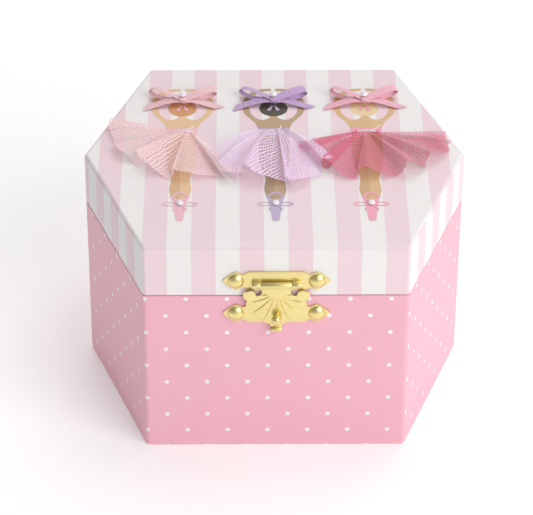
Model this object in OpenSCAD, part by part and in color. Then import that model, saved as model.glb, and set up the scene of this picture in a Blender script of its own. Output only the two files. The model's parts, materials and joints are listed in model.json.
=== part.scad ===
// Ballerina jewellery box: a hexagonal board case with a hinged lid, a toggle clasp, a tray
// with ring rolls, and a wind-up musical movement under a deck that turns a sprung dancer.
// Millimetres. Origin at the centre of the flat underside, +X right, +Y back, +Z up.
// The box is drawn closed: the hasp is down and the dancer leans forward under the lid.

/* [Case] */
// Width of the front and back faces
front_w = 97; // [80:1:120]
// Width across the two side points
overall_w = 144; // [120:1:175]
// Depth from the front face to the back face
case_d = 126; // [104:1:155]
// Height of the base, up to the seam
base_h = 69; // [57:1:85]
// Height of the lid
lid_h = 21; // [17:1:28]
// Thickness of the case board
board_t = 2.5; // [2:0.1:3.2]
// Thickness of the printed paper
paper_t = 0.3; // [0.2:0.05:0.4]
// Thickness of the plush lining
lining_t = 0.5; // [0.3:0.1:0.8]
// Radius of the upright corners
corner_r = 2; // [1.2:0.1:3]
// Radius of the lid's top edge
lid_edge_r = 1.4; // [0.8:0.1:2]
// Gap between the base and the closed lid
seam_gap = 0.3; // [0.2:0.05:0.5]

/* [Inside] */
// Gap between the movement and the deck over it
deck_gap = 3; // [1:0.5:6]
// Thickness of the deck and the partition
deck_t = 2.5; // [2:0.1:3.2]
// Gap between the partition and the movement
partition_gap = 3; // [1:0.5:8]
// Thickness of the padding under the tray
pad_t = 1.7; // [1:0.1:3]
// Thickness of a divider
divider_t = 2; // [1.5:0.1:3]
// Width between the dividers
ring_well_w = 44; // [34:1:54]
// Height of a divider
divider_h = 37; // [30:1:46]
// Radius of a ring roll
roll_r = 4.5; // [3.5:0.1:5.5]
// Gap between ring rolls
roll_gap = 0.4; // [0.2:0.1:2]
// Height of the foam block under the ring rolls
ring_block_h = 24; // [18:1:30]
// Thickness of the mirror
mirror_t = 1.5; // [1:0.1:2]
// Distance from the lid's outside to the mirror's edge
mirror_inset = 14; // [10:1:20]
// Width of the covered strip that frames the mirror
frame_strip_w = 5; // [4:0.5:7]

/* [Clasp] */
// Length of each clasp plate from tip to tip
clasp_w = 39.4; // [34:0.2:46]
// Height of each clasp plate
clasp_plate_h = 8; // [7.5:0.1:9]
// Thickness of the stamped clasp brass
clasp_t = 0.7; // [0.5:0.05:0.9]
// Radius of a clasp nail's domed head
clasp_nail_r = 3.15; // [2.6:0.05:3.4]
// Height of the clasp pin above the seam
clasp_pin_rise = 5.9; // [5:0.1:7]
// Drop of the lower plate's centre below the seam
catch_drop = 7.3; // [6:0.1:8.5]
// Width of the hasp over its upper lobes
hasp_w = 24.4; // [21:0.2:28]
// Length of the hasp below its pin
hasp_l = 18; // [16:0.5:20]
// Radius of the clasp pin
clasp_pin_r = 0.5; // [0.4:0.05:0.6]
// Radius of the ball on the hasp
ball_r = 1.9; // [1.4:0.1:2.4]

/* [Hinges] */
// Distance from the middle of the box to each hinge
hinge_x = 26; // [20:1:32]
// Width of a hinge
hinge_w = 18; // [14:1:22]
// Height of a hinge leaf
hinge_leaf_h = 9; // [7:0.5:12]
// Thickness of a hinge leaf
hinge_t = 0.6; // [0.4:0.05:0.8]
// Radius of a hinge barrel
hinge_barrel_r = 1.3; // [1.1:0.05:1.6]
// Radius of a hinge pin
hinge_pin_r = 0.6; // [0.5:0.05:0.7]

/* [Movement] */
// Width of the mainspring barrel's rim outside the middle of its crown teeth
barrel_rim = 1; // [0.8:0.05:1.2]
// Number of teeth on the barrel's crown gear
crown_teeth = 40; // [36:2:44]
// Number of teeth on the cylinder's pinion
pinion_teeth = 30; // [26:2:32]
// Step from the pinion's radius down to the music cylinder's
cylinder_step = 2; // [1.5:0.1:3]
// Number of tines on the comb
tine_count = 18; // [12:1:18]
// Distance between tines
tine_pitch = 1; // [0.9:0.05:1]
// Radius of the cylinder's arbor
arbor_r = 1; // [0.8:0.05:1.2]
// Radius of the winding arbor
winding_r = 1.4; // [1.2:0.05:1.6]
// Radial running clearance of the shafts
running = 0.05; // [0.03:0.01:0.08]

/* [Dancer] */
// Height of the dancer from toe to fingertips
dancer_h = 40; // [33:1:48]
// Length of the dancer's spring
spring_l = 9.5; // [8:0.5:12]
// Length of the collar between the spring and the dancer
collar_l = 3; // [2:0.5:5]
// Radius of the dancer's tutu
dancer_tutu_r = 12.5; // [9:0.5:14]
// Room kept between the leaning dancer and the mirror
head_gap = 6; // [4:0.5:8]

/* [Trim] */
// Distance between the printed figures
figure_pitch = 35.3; // [29:0.1:42]
// Radius of a set stone
gem_r = 1.4; // [1:0.1:1.8]
// Width of the bow ribbon
ribbon_w = 3; // [2.5:0.1:4]
// Length of one bow loop
bow_loop_l = 11.5; // [9:0.5:13]

/* [Hidden] */
$fn = 48;
fine = 24;
turn = 360;
tilt = atan((overall_w - front_w) / case_d);
face_angles = [-90, -tilt, tilt, 90, 180 - tilt, 180 + tilt, 270];
corner_steps = 4;
cover_inset = paper_t + board_t;
inner_inset = cover_inset + lining_t;
front_y = -case_d / 2;
back_y = case_d / 2;
back_in = back_y - inner_inset;
floor_z = paper_t + board_t;
lined_floor_z = floor_z + lining_t;
tray_z = lined_floor_z + pad_t;
turn_in_h = 7;
turn_under = 8;
lid_z = base_h + seam_gap;
top_z = lid_z + lid_h;
lid_inner_z = top_z - paper_t - board_t;
mirror_z = lid_inner_z - lining_t - mirror_t;
frame_lip = 0.5;
figure_x = [-figure_pitch, 0, figure_pitch];
nail_fit = 0.02;
loose = 0.3;

// Movement: the winding axis is level and the cylinder's axis upright, both on the middle plane.
gear_m = 0.5;
bedplate_t = 3;
bed_y = back_in - bedplate_t;
bed_w = 68;
bed_z = lined_floor_z + 1;
crown_r = crown_teeth * gear_m / 2;
barrel_r = crown_r + barrel_rim;
pinion_r = pinion_teeth * gear_m / 2;
cylinder_r = pinion_r - cylinder_step;
crown_tooth_h = 1.1;
barrel_l = 8.2;
barrel_front = bed_y - 1 - barrel_l;
cyl_y = barrel_front - crown_tooth_h / 2 - pinion_r;
bearing_t = 1.8;
pinion_w = 2;
lower_bearing_z = lined_floor_z + 0.3;
pinion_z = lower_bearing_z + bearing_t + barrel_rim - 0.2;
barrel_z = pinion_z + pinion_w / 2 + crown_r;
cylinder_z = pinion_z + pinion_w + 1;
cylinder_l = tine_count * tine_pitch + 1;
wheel_m = 0.4;
wheel_teeth = 48;
wheel_r = wheel_teeth * wheel_m / 2;
wheel_z = max(barrel_z + barrel_r, cylinder_z + cylinder_l) + 1;
wheel_w = 1.2;
upper_bearing_z = wheel_z + wheel_w + 0.8;
deck_z = upper_bearing_z + bearing_t + deck_gap;
pin_l = 0.6;
pin_r = 0.22;
tine_gap = 0.15;
comb_t = 1;
heel_x = 22;
heel_w = 10;
comb_z = cylinder_z + 0.5;
comb_h = tine_count * tine_pitch;
bracket_w = 30;
gov_teeth = 12;
gov_r = gov_teeth * wheel_m / 2;
gov_x = -(wheel_r + gov_r + 0.05);
worm_teeth = 20;
worm_wheel_r = worm_teeth * gear_m / 2;
worm_pitch = PI * gear_m;
worm_x = gov_x - worm_wheel_r - 1.4;
worm_z = wheel_z - 6.95;
worm_wheel_w = 0.9;
worm_r = 0.5;
gov_arbor_r = 0.6;
fan_r = 5;
fan_l = 5;
fan_y = cyl_y - 11.45;
gov_plate_x = worm_x - fan_r - 2;
gov_plate_t = 1.5;
gov_front_y = fan_y - 2.5;
partition_y = gov_front_y - partition_gap - deck_t;
gov_low_z = worm_z - 4.25;
gov_high_z = upper_bearing_z + 1;
gov_foot_w = 7;
lug_t = 1.5;
ear_t = 1.2;
key_hole_r = 3.5;
key_stem_r = 2.6;
key_y = back_y + 1.3;
key_stem_l = 11;
mount_screw_pos = [[-20, 8.5], [20, 8.5], [-20, 30]];
mount_screw_r = 1;
screw_r = 0.8;
trip_r = 0.6;
trip_x = worm_x;
trip_y = fan_y + fan_l / 2;
trip_low_z = worm_z + fan_r + 0.4;
trip_guide_z = trip_low_z + 1.8;
trip_spring_l = 2;

// Dancer: leans forward by whole degrees until the closed lid clears the raised hands.
table_r = 8;
table_t = 1.5;
table_z = deck_z + deck_t + 0.5;
spring_z = table_z + table_t;
pivot_z = spring_z + spring_l / 2;
reach = spring_l / 2 + collar_l + dancer_h;
lean = round(acos(min(1, (mirror_z - frame_lip - head_gap - pivot_z) / reach)));
spring_wire_r = 0.35;
spring_r = 1.6;
spring_turns = 7;
// How far the bent spring's upper end stands beyond the straight spring's, along the lean
spring_rise = lean == 0 ? 0 : spring_l * 180 / (PI * lean) * sin(lean) - spring_l / 2 * (1 + cos(lean));
collar_seat = spring_rise + 0.055;
collar_floor_t = 0.4;
peg_end_gap = 0.1;
collar_r = 2.1;
peg_r = 0.8;
waist_z = 0.6 * dancer_h;

// Clasp and hinges.
clasp_z = lid_z + clasp_pin_rise;
clasp_plate_z = clasp_z + 0.8;
catch_z = base_h - catch_drop;
clasp_nail_x = clasp_w / 2 - 4.9;
clasp_knuckle_r = clasp_pin_r + 0.65;
clasp_pin_out = clasp_t + loose + clasp_knuckle_r;
hasp_neck = 5.4;
knuckle_l = 3.2;
hasp_t = 0.6;
nail_shank_r = 0.6;
small_nail_r = 1.2;
small_shank_r = 0.45;
hinge_out = hinge_barrel_r + 0.4;
hinge_z = base_h + seam_gap / 2;
hinge_barrel_l = hinge_w / 3;
hinge_nail_x = hinge_w / 2 - 3.5;

// Lid trim: the three figures stand with their waists on one line. Each hem corner is across as
// a share of the distance between figures, and up or down in millimetres.
waist_y = 13;
bow_y = 37;
shoe_y = -34.5;
bow_h = 3.6;
ribbon_t = 0.5;
waist_h = 3;
hem_h = 5;
hem_r = 2;
hems = [
    [[-0.74, 12], [-0.48, -22], [0.03, -31], [0.37, -27]],
    [[-0.45, -16], [-0.34, -29], [-0.06, -35], [0.4, -20]],
    [[-0.45, -12], [-0.17, -30], [0.4, -28], [0.82, -4]]
];
thread_r = 0.35;

// ---- Outlines and shared shapes ----

// Corners of the hexagon with every side moved in by inset, from the front right round to the left.
function corners(inset) =
    let (side = overall_w / 2 - inset / cos(tilt), y = case_d / 2 - inset, x = side - y * tan(tilt))
    [[x, -y], [side, 0], [x, y], [-x, y], [-side, 0], [-x, -y]];

// The hexagon with its corners rounded about fixed centres, so that nested outlines stay parallel.
function outline(inset) = inset >= corner_r ? corners(inset) : [
    for (i = [0:5]) for (s = [0:corner_steps])
        let (a = face_angles[i] + (face_angles[i + 1] - face_angles[i]) * s / corner_steps)
        corners(corner_r)[i] + (corner_r - inset) * [cos(a), sin(a)]
];

module slab(inset, z0, z1) {
    translate([0, 0, z0]) linear_extrude(z1 - z0) polygon(outline(inset));
}

module ring(outside, inside, z0, z1) {
    difference() {
        slab(outside, z0, z1);
        slab(inside, z0 - 1, z1 + 1);
    }
}

// A slab whose top edge is rounded by r.
module soft_slab(inset, z0, z1, r) {
    hull() {
        slab(inset, z0, z1 - r);
        for (a = [30, 60, 90]) slab(inset + r * (1 - cos(a)), z0, z1 - r + r * sin(a));
    }
}

// Local x to +X, local y up, local z out of the front face.
module on_front(z) {
    translate([0, front_y, z]) rotate([90, 0, 0]) children();
}

// Local x to -X, local y up, local z out of the back face.
module on_back(z) {
    translate([0, back_y, z]) rotate([90, 0, 180]) children();
}

// The children and their mirror image on the other side of the middle plane.
module in_pairs() {
    children();
    mirror([1, 0, 0]) children();
}

// A round bar along X, centred on x.
module bar_x(r, x0, x1) {
    translate([x0, 0, 0]) rotate([0, 90, 0]) cylinder(h = x1 - x0, r = r);
}

// A round bar along Y.
module bar_y(r, y0, y1) {
    translate([0, y0, 0]) rotate([-90, 0, 0]) cylinder(h = y1 - y0, r = r);
}

// A tapered round limb from p to q.
module limb(p, q, r1, r2) {
    d = q - p;
    translate(p) {
        rotate([0, acos(d[2] / norm(d)), atan2(d[1], d[0])]) cylinder(h = norm(d), r1 = r1, r2 = r2, $fn = fine);
        sphere(r = r1, $fn = fine);
    }
    translate(q) sphere(r = r2, $fn = fine);
}

// Domed nail: head on z = 0, shank below it.
module nail(head_r, head_h, shank_r, shank_l) {
    dome_r = (head_r * head_r + head_h * head_h) / (2 * head_h);
    intersection() {
        translate([0, 0, head_h - dome_r]) sphere(r = dome_r);
        translate([-head_r, -head_r, 0]) cube([2 * head_r, 2 * head_r, head_h]);
    }
    translate([0, 0, -shank_l]) cylinder(h = shank_l + 0.2, r = shank_r, $fn = fine);
}

// Pan-head screw: head on z = 0 with a slot, shank below it.
module screw(shank_r, head_r, head_h, shank_l) {
    difference() {
        cylinder(h = head_h, r = head_r, $fn = fine);
        translate([-head_r, -shank_r / 4, head_h * 0.6]) cube([2 * head_r, shank_r / 2, head_h]);
    }
    translate([0, 0, -shank_l]) cylinder(h = shank_l + head_h / 2, r = shank_r, $fn = fine);
}

// One straight-sided gear tooth on a disc of root radius r0, up to tip radius r1.
module gear_2d(n, r0, r1, root_w, tip_w) {
    circle(r = r0);
    for (k = [0:n - 1]) rotate(k * turn / n)
        polygon([[r0 - 0.3, -root_w / 2], [r1, -tip_w / 2], [r1, tip_w / 2], [r0 - 0.3, root_w / 2]]);
}

// Bends a point of an upright spring of length l forward by an even curve of b degrees in all.
function bent(p, l, b) =
    let (a = b * p[2] / l, r = l / (b * PI / 180))
    [p[0], -r * (1 - cos(a)) + p[1] * cos(a), r * sin(a) + p[1] * sin(a)];

// Wire coil about Z as one swept solid, bent forward by b degrees (0 keeps it straight).
module coil(coil_r, wire_r, pitch, turns, sides = 6, steps = 16, b = 0) {
    n = turns * steps;
    l = pitch * turns + 2 * wire_r;
    points = [
        for (i = [0:n]) for (j = [0:sides - 1])
            let (
                a = turn * i / steps,
                c = turn * j / sides,
                r = coil_r + wire_r * cos(c),
                p = [r * cos(a), r * sin(a), wire_r + pitch * i / steps + wire_r * sin(c)]
            )
            b == 0 ? p : bent(p, l, b)
    ];
    sides_faces = [
        for (i = [0:n - 1]) for (j = [0:sides - 1])
            let (k = (j + 1) % sides)
            [i * sides + j, i * sides + k, (i + 1) * sides + k, (i + 1) * sides + j]
    ];
    start = [for (j = [0:sides - 1]) sides - 1 - j];
    end = [for (j = [0:sides - 1]) n * sides + j];
    polyhedron(points, concat(sides_faces, [start, end]), convexity = 10);
}

// ---- Holes shared by the layers of the case ----

module clasp_nail_holes(z) {
    on_front(z) for (x = [-clasp_nail_x, clasp_nail_x])
        translate([x, 0, -10]) cylinder(h = 20, r = nail_shank_r + nail_fit, $fn = fine);
}

module hinge_nail_holes(z) {
    on_back(z) for (x = [-hinge_x, hinge_x]) for (dx = [-hinge_nail_x, hinge_nail_x])
        translate([x + dx, 0, -10]) cylinder(h = 20, r = small_shank_r + nail_fit, $fn = fine);
}

module back_wall_holes() {
    on_back(barrel_z) translate([0, 0, -10]) cylinder(h = 20, r = key_hole_r);
    for (p = mount_screw_pos) on_back(p[1])
        translate([p[0], 0, -inner_inset - 0.1]) cylinder(h = 20, r = mount_screw_r + 0.1, $fn = fine);
}

module base_holes() {
    clasp_nail_holes(catch_z);
    hinge_nail_holes(base_h - hinge_leaf_h / 2 - 1);
    back_wall_holes();
}

module lid_holes() {
    clasp_nail_holes(clasp_plate_z);
    hinge_nail_holes(lid_z + hinge_leaf_h / 2 + 1);
}

// ---- Base case ----

module base_walls() {
    color("burlywood") difference() {
        ring(paper_t, cover_inset, paper_t, base_h - paper_t);
        base_holes();
    }
}

module base_floor() {
    color("burlywood") slab(cover_inset, paper_t, floor_z);
}

module base_wrap() {
    color("pink") difference() {
        union() {
            ring(0, paper_t, 0, base_h);
            ring(paper_t / 2, turn_under, 0, paper_t);
            ring(paper_t / 2, cover_inset + paper_t, base_h - paper_t, base_h);
            ring(cover_inset, cover_inset + paper_t, base_h - turn_in_h, base_h);
        }
        base_holes();
    }
}

module base_bottom_paper() {
    color("white") slab(turn_under, 0, paper_t);
}

module base_lining() {
    color("lavenderblush") difference() {
        slab(cover_inset, floor_z, base_h - turn_in_h);
        slab(inner_inset, lined_floor_z, base_h);
        base_holes();
    }
}

// ---- Tray ----

module front_of_partition(inset) {
    intersection() {
        children();
        translate([-overall_w, front_y, -1]) cube([2 * overall_w, partition_y - inset - front_y, base_h]);
    }
}

module tray_pad() {
    color("mistyrose") front_of_partition(0) slab(inner_inset, lined_floor_z, tray_z);
}

module partition() {
    color("lavenderblush") intersection() {
        slab(inner_inset, lined_floor_z, deck_z);
        translate([-overall_w, partition_y, 0]) cube([2 * overall_w, deck_t, base_h]);
    }
}

module dividers() {
    color("lavenderblush") in_pairs() translate([ring_well_w / 2, front_y + inner_inset, tray_z])
        cube([divider_t, partition_y - front_y - inner_inset, divider_h]);
}

module ring_block() {
    color("mistyrose") translate([-ring_well_w / 2, front_y + inner_inset, tray_z])
        cube([ring_well_w, partition_y - front_y - inner_inset, ring_block_h]);
}

module ring_rolls() {
    room = partition_y - front_y - inner_inset;
    pitch = 2 * roll_r + roll_gap;
    count = floor((room - 2 * roll_r) / pitch) + 1;
    first = front_y + inner_inset + (room - (count - 1) * pitch) / 2;
    color("pink") for (k = [0:count - 1])
        translate([0, first + k * pitch, tray_z + ring_block_h + roll_r])
            bar_x(roll_r, -ring_well_w / 2, ring_well_w / 2);
}

module deck() {
    color("lavenderblush") difference() {
        intersection() {
            slab(inner_inset, deck_z, deck_z + deck_t);
            translate([-overall_w, partition_y, 0]) cube([2 * overall_w, case_d, base_h]);
        }
        translate([0, cyl_y, 0]) cylinder(h = base_h, r = arbor_r + 1.2, $fn = fine);
        translate([trip_x, trip_y, 0]) cylinder(h = base_h, r = trip_r + running, $fn = fine);
    }
}

// ---- Clasp ----

// Outline of a clasp plate: a chamfered middle with a spear at each end.
module clasp_plate_2d() {
    tip = clasp_w / 2;
    h = clasp_plate_h / 2;
    half = [
        [0, h], [tip - 9.6, h], [tip - 7.7, h - 1.3], [tip - 7.1, h - 1.2], [tip - 5.3, h],
        [tip - 3.3, h - 1], [tip - 1.4, h - 2.6], [tip, 0]
    ];
    for (side = [[1, 1], [-1, 1], [-1, -1], [1, -1]])
        polygon(concat([[0, 0]], [for (p = half) [p[0] * side[0], p[1] * side[1]]]));
}

module clasp_plate(z) {
    difference() {
        on_front(z) linear_extrude(clasp_t) clasp_plate_2d();
        clasp_nail_holes(z);
    }
}

module clasp_nails(z) {
    on_front(z) for (x = [-clasp_nail_x, clasp_nail_x]) translate([x, 0, clasp_t])
        nail(clasp_nail_r, 1.8, nail_shank_r, clasp_t + paper_t + board_t);
}

module catch_plate() {
    color("gold") {
        clasp_plate(catch_z);
        on_front(catch_z) translate([0, -1.3, clasp_t - 0.05]) cylinder(h = 0.15, r = 1.2, $fn = fine);
    }
}

module catch_nails() {
    color("goldenrod") clasp_nails(catch_z);
}

// The lid plate's two knuckles curl round the pin, each on a strap from the plate's slot.
module clasp_lid_plate() {
    color("gold") difference() {
        union() {
            clasp_plate(clasp_plate_z);
            in_pairs() on_front(clasp_z) translate([hasp_neck + 0.4, 0, 0]) {
                translate([0, 0, clasp_pin_out]) bar_x(clasp_knuckle_r, 0, knuckle_l);
                translate([0, clasp_knuckle_r - 0.6, clasp_t / 2])
                    cube([knuckle_l, 0.6, clasp_pin_out - clasp_t / 2]);
            }
        }
        on_front(clasp_z) translate([0, 0, clasp_pin_out])
            bar_x(clasp_pin_r + running, -clasp_w / 2, clasp_w / 2);
    }
}

module lid_plate_nails() {
    color("goldenrod") clasp_nails(clasp_plate_z);
}

module clasp_pin() {
    reach_x = hasp_neck + 0.4 + knuckle_l;
    color("goldenrod") on_front(clasp_z) translate([0, 0, clasp_pin_out]) bar_x(clasp_pin_r, -reach_x, reach_x);
}

// Outline of the hasp below its pin at the origin: a neck, two lobes a side and a shell foot.
module hasp_2d() {
    foot_r = hasp_w * 0.36;
    lobe_r = 2.8;
    difference() {
        union() {
            translate([-hasp_neck, -6]) square([2 * hasp_neck, 6]);
            translate([0, foot_r - hasp_l]) circle(r = foot_r);
            in_pairs() {
                translate([hasp_w / 2 - lobe_r, -4.9]) circle(r = lobe_r, $fn = fine);
                translate([hasp_w / 2 - lobe_r - 0.8, -9]) circle(r = lobe_r - 0.3, $fn = fine);
            }
            translate([-hasp_w / 2 + lobe_r, -9.5]) square([hasp_w - 2 * lobe_r, 6]);
        }
        in_pairs() {
            translate([hasp_neck + 1.6, -3.4]) circle(r = 1.75, $fn = fine);
            translate([hasp_neck, -3.4]) square([20, 10]);
        }
    }
    in_pairs() translate([hasp_w / 2 - lobe_r, -4.9]) circle(r = 1.9, $fn = fine);
}

// The hasp's plate meets the back of its rolled top, and its foot ends in a curled thumb tab.
module clasp_hasp() {
    tab_w = 4.2;
    back = clasp_pin_out - clasp_knuckle_r;
    color("gold") on_front(clasp_z) difference() {
        union() {
            translate([0, 0, back]) linear_extrude(hasp_t) hasp_2d();
            translate([0, 0, clasp_pin_out]) bar_x(clasp_knuckle_r, -hasp_neck, hasp_neck);
            translate([-tab_w / 2, -hasp_l - 1.8, back]) cube([tab_w, 3, hasp_t]);
            translate([0, -hasp_l - 1.8, back + 0.9]) bar_x(0.9, -tab_w / 2, tab_w / 2);
        }
        translate([0, 0, clasp_pin_out]) bar_x(clasp_pin_r + running, -clasp_w / 2, clasp_w / 2);
        translate([0, -hasp_l + 3.6, 0]) cylinder(h = 5, r = 0.8, $fn = fine);
    }
}

module clasp_knob() {
    back = clasp_pin_out - clasp_knuckle_r;
    color("goldenrod") on_front(clasp_z) translate([0, -hasp_l + 3.6, 0]) {
        translate([0, 0, back]) cylinder(h = hasp_t + 1, r = 0.8, $fn = fine);
        translate([0, 0, back + hasp_t]) cylinder(h = 0.5, r = 1.3, $fn = fine);
        translate([0, 0, back + hasp_t + ball_r + 0.1]) sphere(r = ball_r);
    }
}

// ---- Hinges ----

// Positions of the barrel segments along a hinge: the outer two are the base's, the middle the lid's.
module hinge_segments(which) {
    for (s = which) translate([s * hinge_barrel_l, 0, 0]) children();
}

module hinge_leaves(which, up) {
    strap = hinge_barrel_l - loose;
    on_back(hinge_z) for (x = [-hinge_x, hinge_x]) translate([x, 0, 0]) difference() {
        union() {
            translate([-hinge_w / 2, up > 0 ? 1.8 : -1.8 - hinge_leaf_h + 1, 0])
                cube([hinge_w, hinge_leaf_h - 1, hinge_t]);
            hinge_segments(which) {
                translate([0, 0, hinge_out]) bar_x(hinge_barrel_r, -strap / 2, strap / 2);
                translate([-strap / 2, up > 0 ? 0.7 : -1.3, 0]) cube([strap, 0.6, hinge_out]);
                translate([-strap / 2, up > 0 ? 0.7 : -1.9, 0]) cube([strap, 1.2, hinge_t]);
            }
        }
        translate([0, 0, hinge_out]) bar_x(hinge_pin_r + running, -hinge_w, hinge_w);
        for (dx = [-hinge_nail_x, hinge_nail_x])
            translate([dx, up * (hinge_leaf_h / 2 + 1 + seam_gap / 2), -1])
                cylinder(h = 5, r = small_shank_r + nail_fit, $fn = fine);
    }
}

module hinge_nails(z) {
    on_back(z) for (x = [-hinge_x, hinge_x]) for (dx = [-hinge_nail_x, hinge_nail_x])
        translate([x + dx, 0, hinge_t]) nail(small_nail_r, 0.5, small_shank_r, hinge_t + paper_t + board_t);
}

module hinge_base_leaves() {
    color("gold") hinge_leaves([-1, 1], -1);
}

module hinge_base_nails() {
    color("goldenrod") hinge_nails(base_h - hinge_leaf_h / 2 - 1);
}

module hinge_lid_leaves() {
    color("gold") hinge_leaves([0], 1);
}

module hinge_lid_nails() {
    color("goldenrod") hinge_nails(lid_z + hinge_leaf_h / 2 + 1);
}

module hinge_pins() {
    color("goldenrod") on_back(hinge_z) for (x = [-hinge_x, hinge_x])
        translate([x, 0, hinge_out]) bar_x(hinge_pin_r, -hinge_w / 2, hinge_w / 2);
}

// ---- Lid ----

module lid_top_board() {
    color("burlywood") soft_slab(paper_t, lid_inner_z, top_z - paper_t, lid_edge_r - paper_t);
}

module lid_wall_boards() {
    color("burlywood") difference() {
        ring(paper_t, cover_inset, lid_z + paper_t, lid_inner_z);
        lid_holes();
    }
}

module lid_wrap() {
    color("white") difference() {
        soft_slab(0, lid_z, top_z, lid_edge_r);
        soft_slab(paper_t, lid_z + paper_t, top_z - paper_t, lid_edge_r - paper_t);
        slab(cover_inset + paper_t, lid_z - 1, lid_z + 1);
        lid_holes();
    }
}

module lid_lining() {
    color("lavenderblush") difference() {
        slab(cover_inset, lid_z + paper_t, lid_inner_z);
        slab(inner_inset, lid_z - 1, lid_inner_z - lining_t);
        lid_holes();
    }
}

module mirror_plate() {
    color("silver") slab(mirror_inset, mirror_z, mirror_z + mirror_t);
}

module mirror_frame() {
    color("pink") difference() {
        slab(mirror_inset - frame_strip_w / 2, mirror_z - frame_lip, mirror_z + mirror_t);
        slab(mirror_inset, mirror_z, mirror_z + 2 * mirror_t);
        slab(mirror_inset + frame_strip_w / 2, mirror_z - 2, mirror_z + 1);
    }
}

// ---- Lid trim ----

// The stitch through each gathered waist.
module waist_stitch(i, r) {
    translate([figure_x[i], waist_y, top_z + waist_h / 2]) bar_x(r, -5.5, 5.5);
}

// Low mound that holds the netting of one skirt, from the gathered waist to the spread hem.
module tutu(i) {
    difference() {
        translate([figure_x[i], waist_y, top_z]) hull() {
            for (x = [-3.5, 3.5]) translate([x, 0, 0]) cylinder(h = waist_h, r = 1, $fn = fine);
            for (p = hems[i]) translate([p[0] * figure_pitch, p[1], 0]) cylinder(h = hem_h, r = hem_r, $fn = fine);
        }
        waist_stitch(i, thread_r + nail_fit);
    }
}

module tutu_left() {
    color("mistyrose") tutu(0);
}

module tutu_middle() {
    color("plum") tutu(1);
}

module tutu_right() {
    color("palevioletred") tutu(2);
}

module waist_threads() {
    color("white") for (i = [0:2]) waist_stitch(i, thread_r);
}

// A flat loop of ribbon in the XZ plane, from the knot out along +X.
module ribbon_loop() {
    r = bow_h / 2;
    rotate([90, 0, 0]) linear_extrude(ribbon_w, center = true) difference() {
        union() {
            translate([bow_loop_l - r, r]) circle(r = r, $fn = fine);
            square([bow_loop_l - r, bow_h]);
        }
        translate([bow_loop_l - r, r]) circle(r = r - ribbon_t, $fn = fine);
        translate([0, ribbon_t]) square([bow_loop_l - r, bow_h - 2 * ribbon_t]);
    }
}

module bow(i) {
    translate([figure_x[i], bow_y, top_z]) {
        translate([-ribbon_w / 2, -ribbon_w / 2 - 0.2, 0]) cube([ribbon_w, ribbon_w + 0.4, bow_h + 0.2]);
        in_pairs() {
            rotate([0, 0, 12]) ribbon_loop();
            rotate([0, 0, -20]) translate([0, -ribbon_w / 2, 0]) cube([14, ribbon_w, ribbon_t]);
        }
    }
}

module bow_left() {
    color("pink") bow(0);
}

module bow_middle() {
    color("plum") bow(1);
}

module bow_right() {
    color("hotpink") bow(2);
}

// Flat-backed cut stone: an eight-sided girdle and a table.
module gem() {
    cylinder(h = gem_r * 0.35, r = gem_r, $fn = 8);
    translate([0, 0, gem_r * 0.35]) cylinder(h = gem_r * 0.4, r1 = gem_r, r2 = gem_r * 0.55, $fn = 8);
}

module gems() {
    color("white") for (x = figure_x) {
        translate([x, bow_y, top_z + bow_h + 0.2]) gem();
        translate([x, shoe_y, top_z]) gem();
    }
}

// ---- Winding key and barrel ----

module key_escutcheon() {
    color("gold") on_back(barrel_z) difference() {
        cylinder(h = 0.6, r = key_hole_r + 3);
        translate([0, 0, -1]) cylinder(h = 3, r = key_hole_r);
    }
}

module winding_key() {
    wing = 8.5;
    color("silver") on_back(barrel_z) translate([0, 0, key_y - back_y]) difference() {
        union() {
            cylinder(h = key_stem_l, r = key_stem_r);
            translate([0, 0, key_stem_l - 1.5]) {
                rotate([90, 0, 0]) linear_extrude(1.2, center = true) {
                    in_pairs() translate([wing - 2.5, 4]) circle(r = 4.5, $fn = fine);
                    translate([-wing + 2.5, 0]) square([2 * wing - 5, 6]);
                }
            }
        }
        translate([0, 0, -1]) cylinder(h = 6, r = winding_r, $fn = fine);
        in_pairs() translate([wing - 2.5, 5, key_stem_l + 2.8]) rotate([90, 0, 0])
            cylinder(h = 10, r = 1.7, $fn = fine);
    }
}

module winding_arbor() {
    color("silver") translate([0, 0, barrel_z]) bar_y(winding_r, barrel_front + 0.3, key_y + 5);
}

module crown_tooth() {
    rotate([90, 0, 90]) linear_extrude(pinion_w)
        polygon([[-0.35, -0.1], [0.35, -0.1], [0.22, crown_tooth_h], [-0.22, crown_tooth_h]]);
}

// The drum is built along +Z with its crown teeth up, then turned to face the front.
module mainspring_barrel() {
    wall = 0.8;
    color("goldenrod") translate([0, barrel_front + barrel_l, barrel_z]) rotate([90, 0, 0]) {
        difference() {
            cylinder(h = barrel_l, r = barrel_r);
            translate([0, 0, wall]) cylinder(h = barrel_l - 2 * wall, r = barrel_r - wall);
            translate([0, 0, -1]) cylinder(h = barrel_l + 2, r = winding_r + running, $fn = fine);
        }
        for (k = [0:crown_teeth - 1]) rotate((k + 0.5) * turn / crown_teeth)
            translate([crown_r - pinion_w / 2, 0, barrel_l]) crown_tooth();
    }
}

// Flat strip wound into a spiral inside the drum.
module mainspring() {
    strip_t = 0.35;
    coils = 6;
    steps = 18;
    inner_r = winding_r + 1;
    outer_r = barrel_r - 0.8 - strip_t - 0.15;
    n = coils * steps;
    spiral = function (i, side) let (r = inner_r + (outer_r - inner_r) * i / n + side, a = turn * i / steps)
        [r * cos(a), r * sin(a)];
    inside = [for (i = [0:n]) spiral(i, 0)];
    outside = [for (i = [n:-1:0]) spiral(i, strip_t)];
    color("slategray") translate([0, barrel_front + barrel_l - 1.2, barrel_z]) rotate([90, 0, 0])
        linear_extrude(barrel_l - 2.4) polygon(concat(inside, outside));
}

// ---- Movement ----

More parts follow.
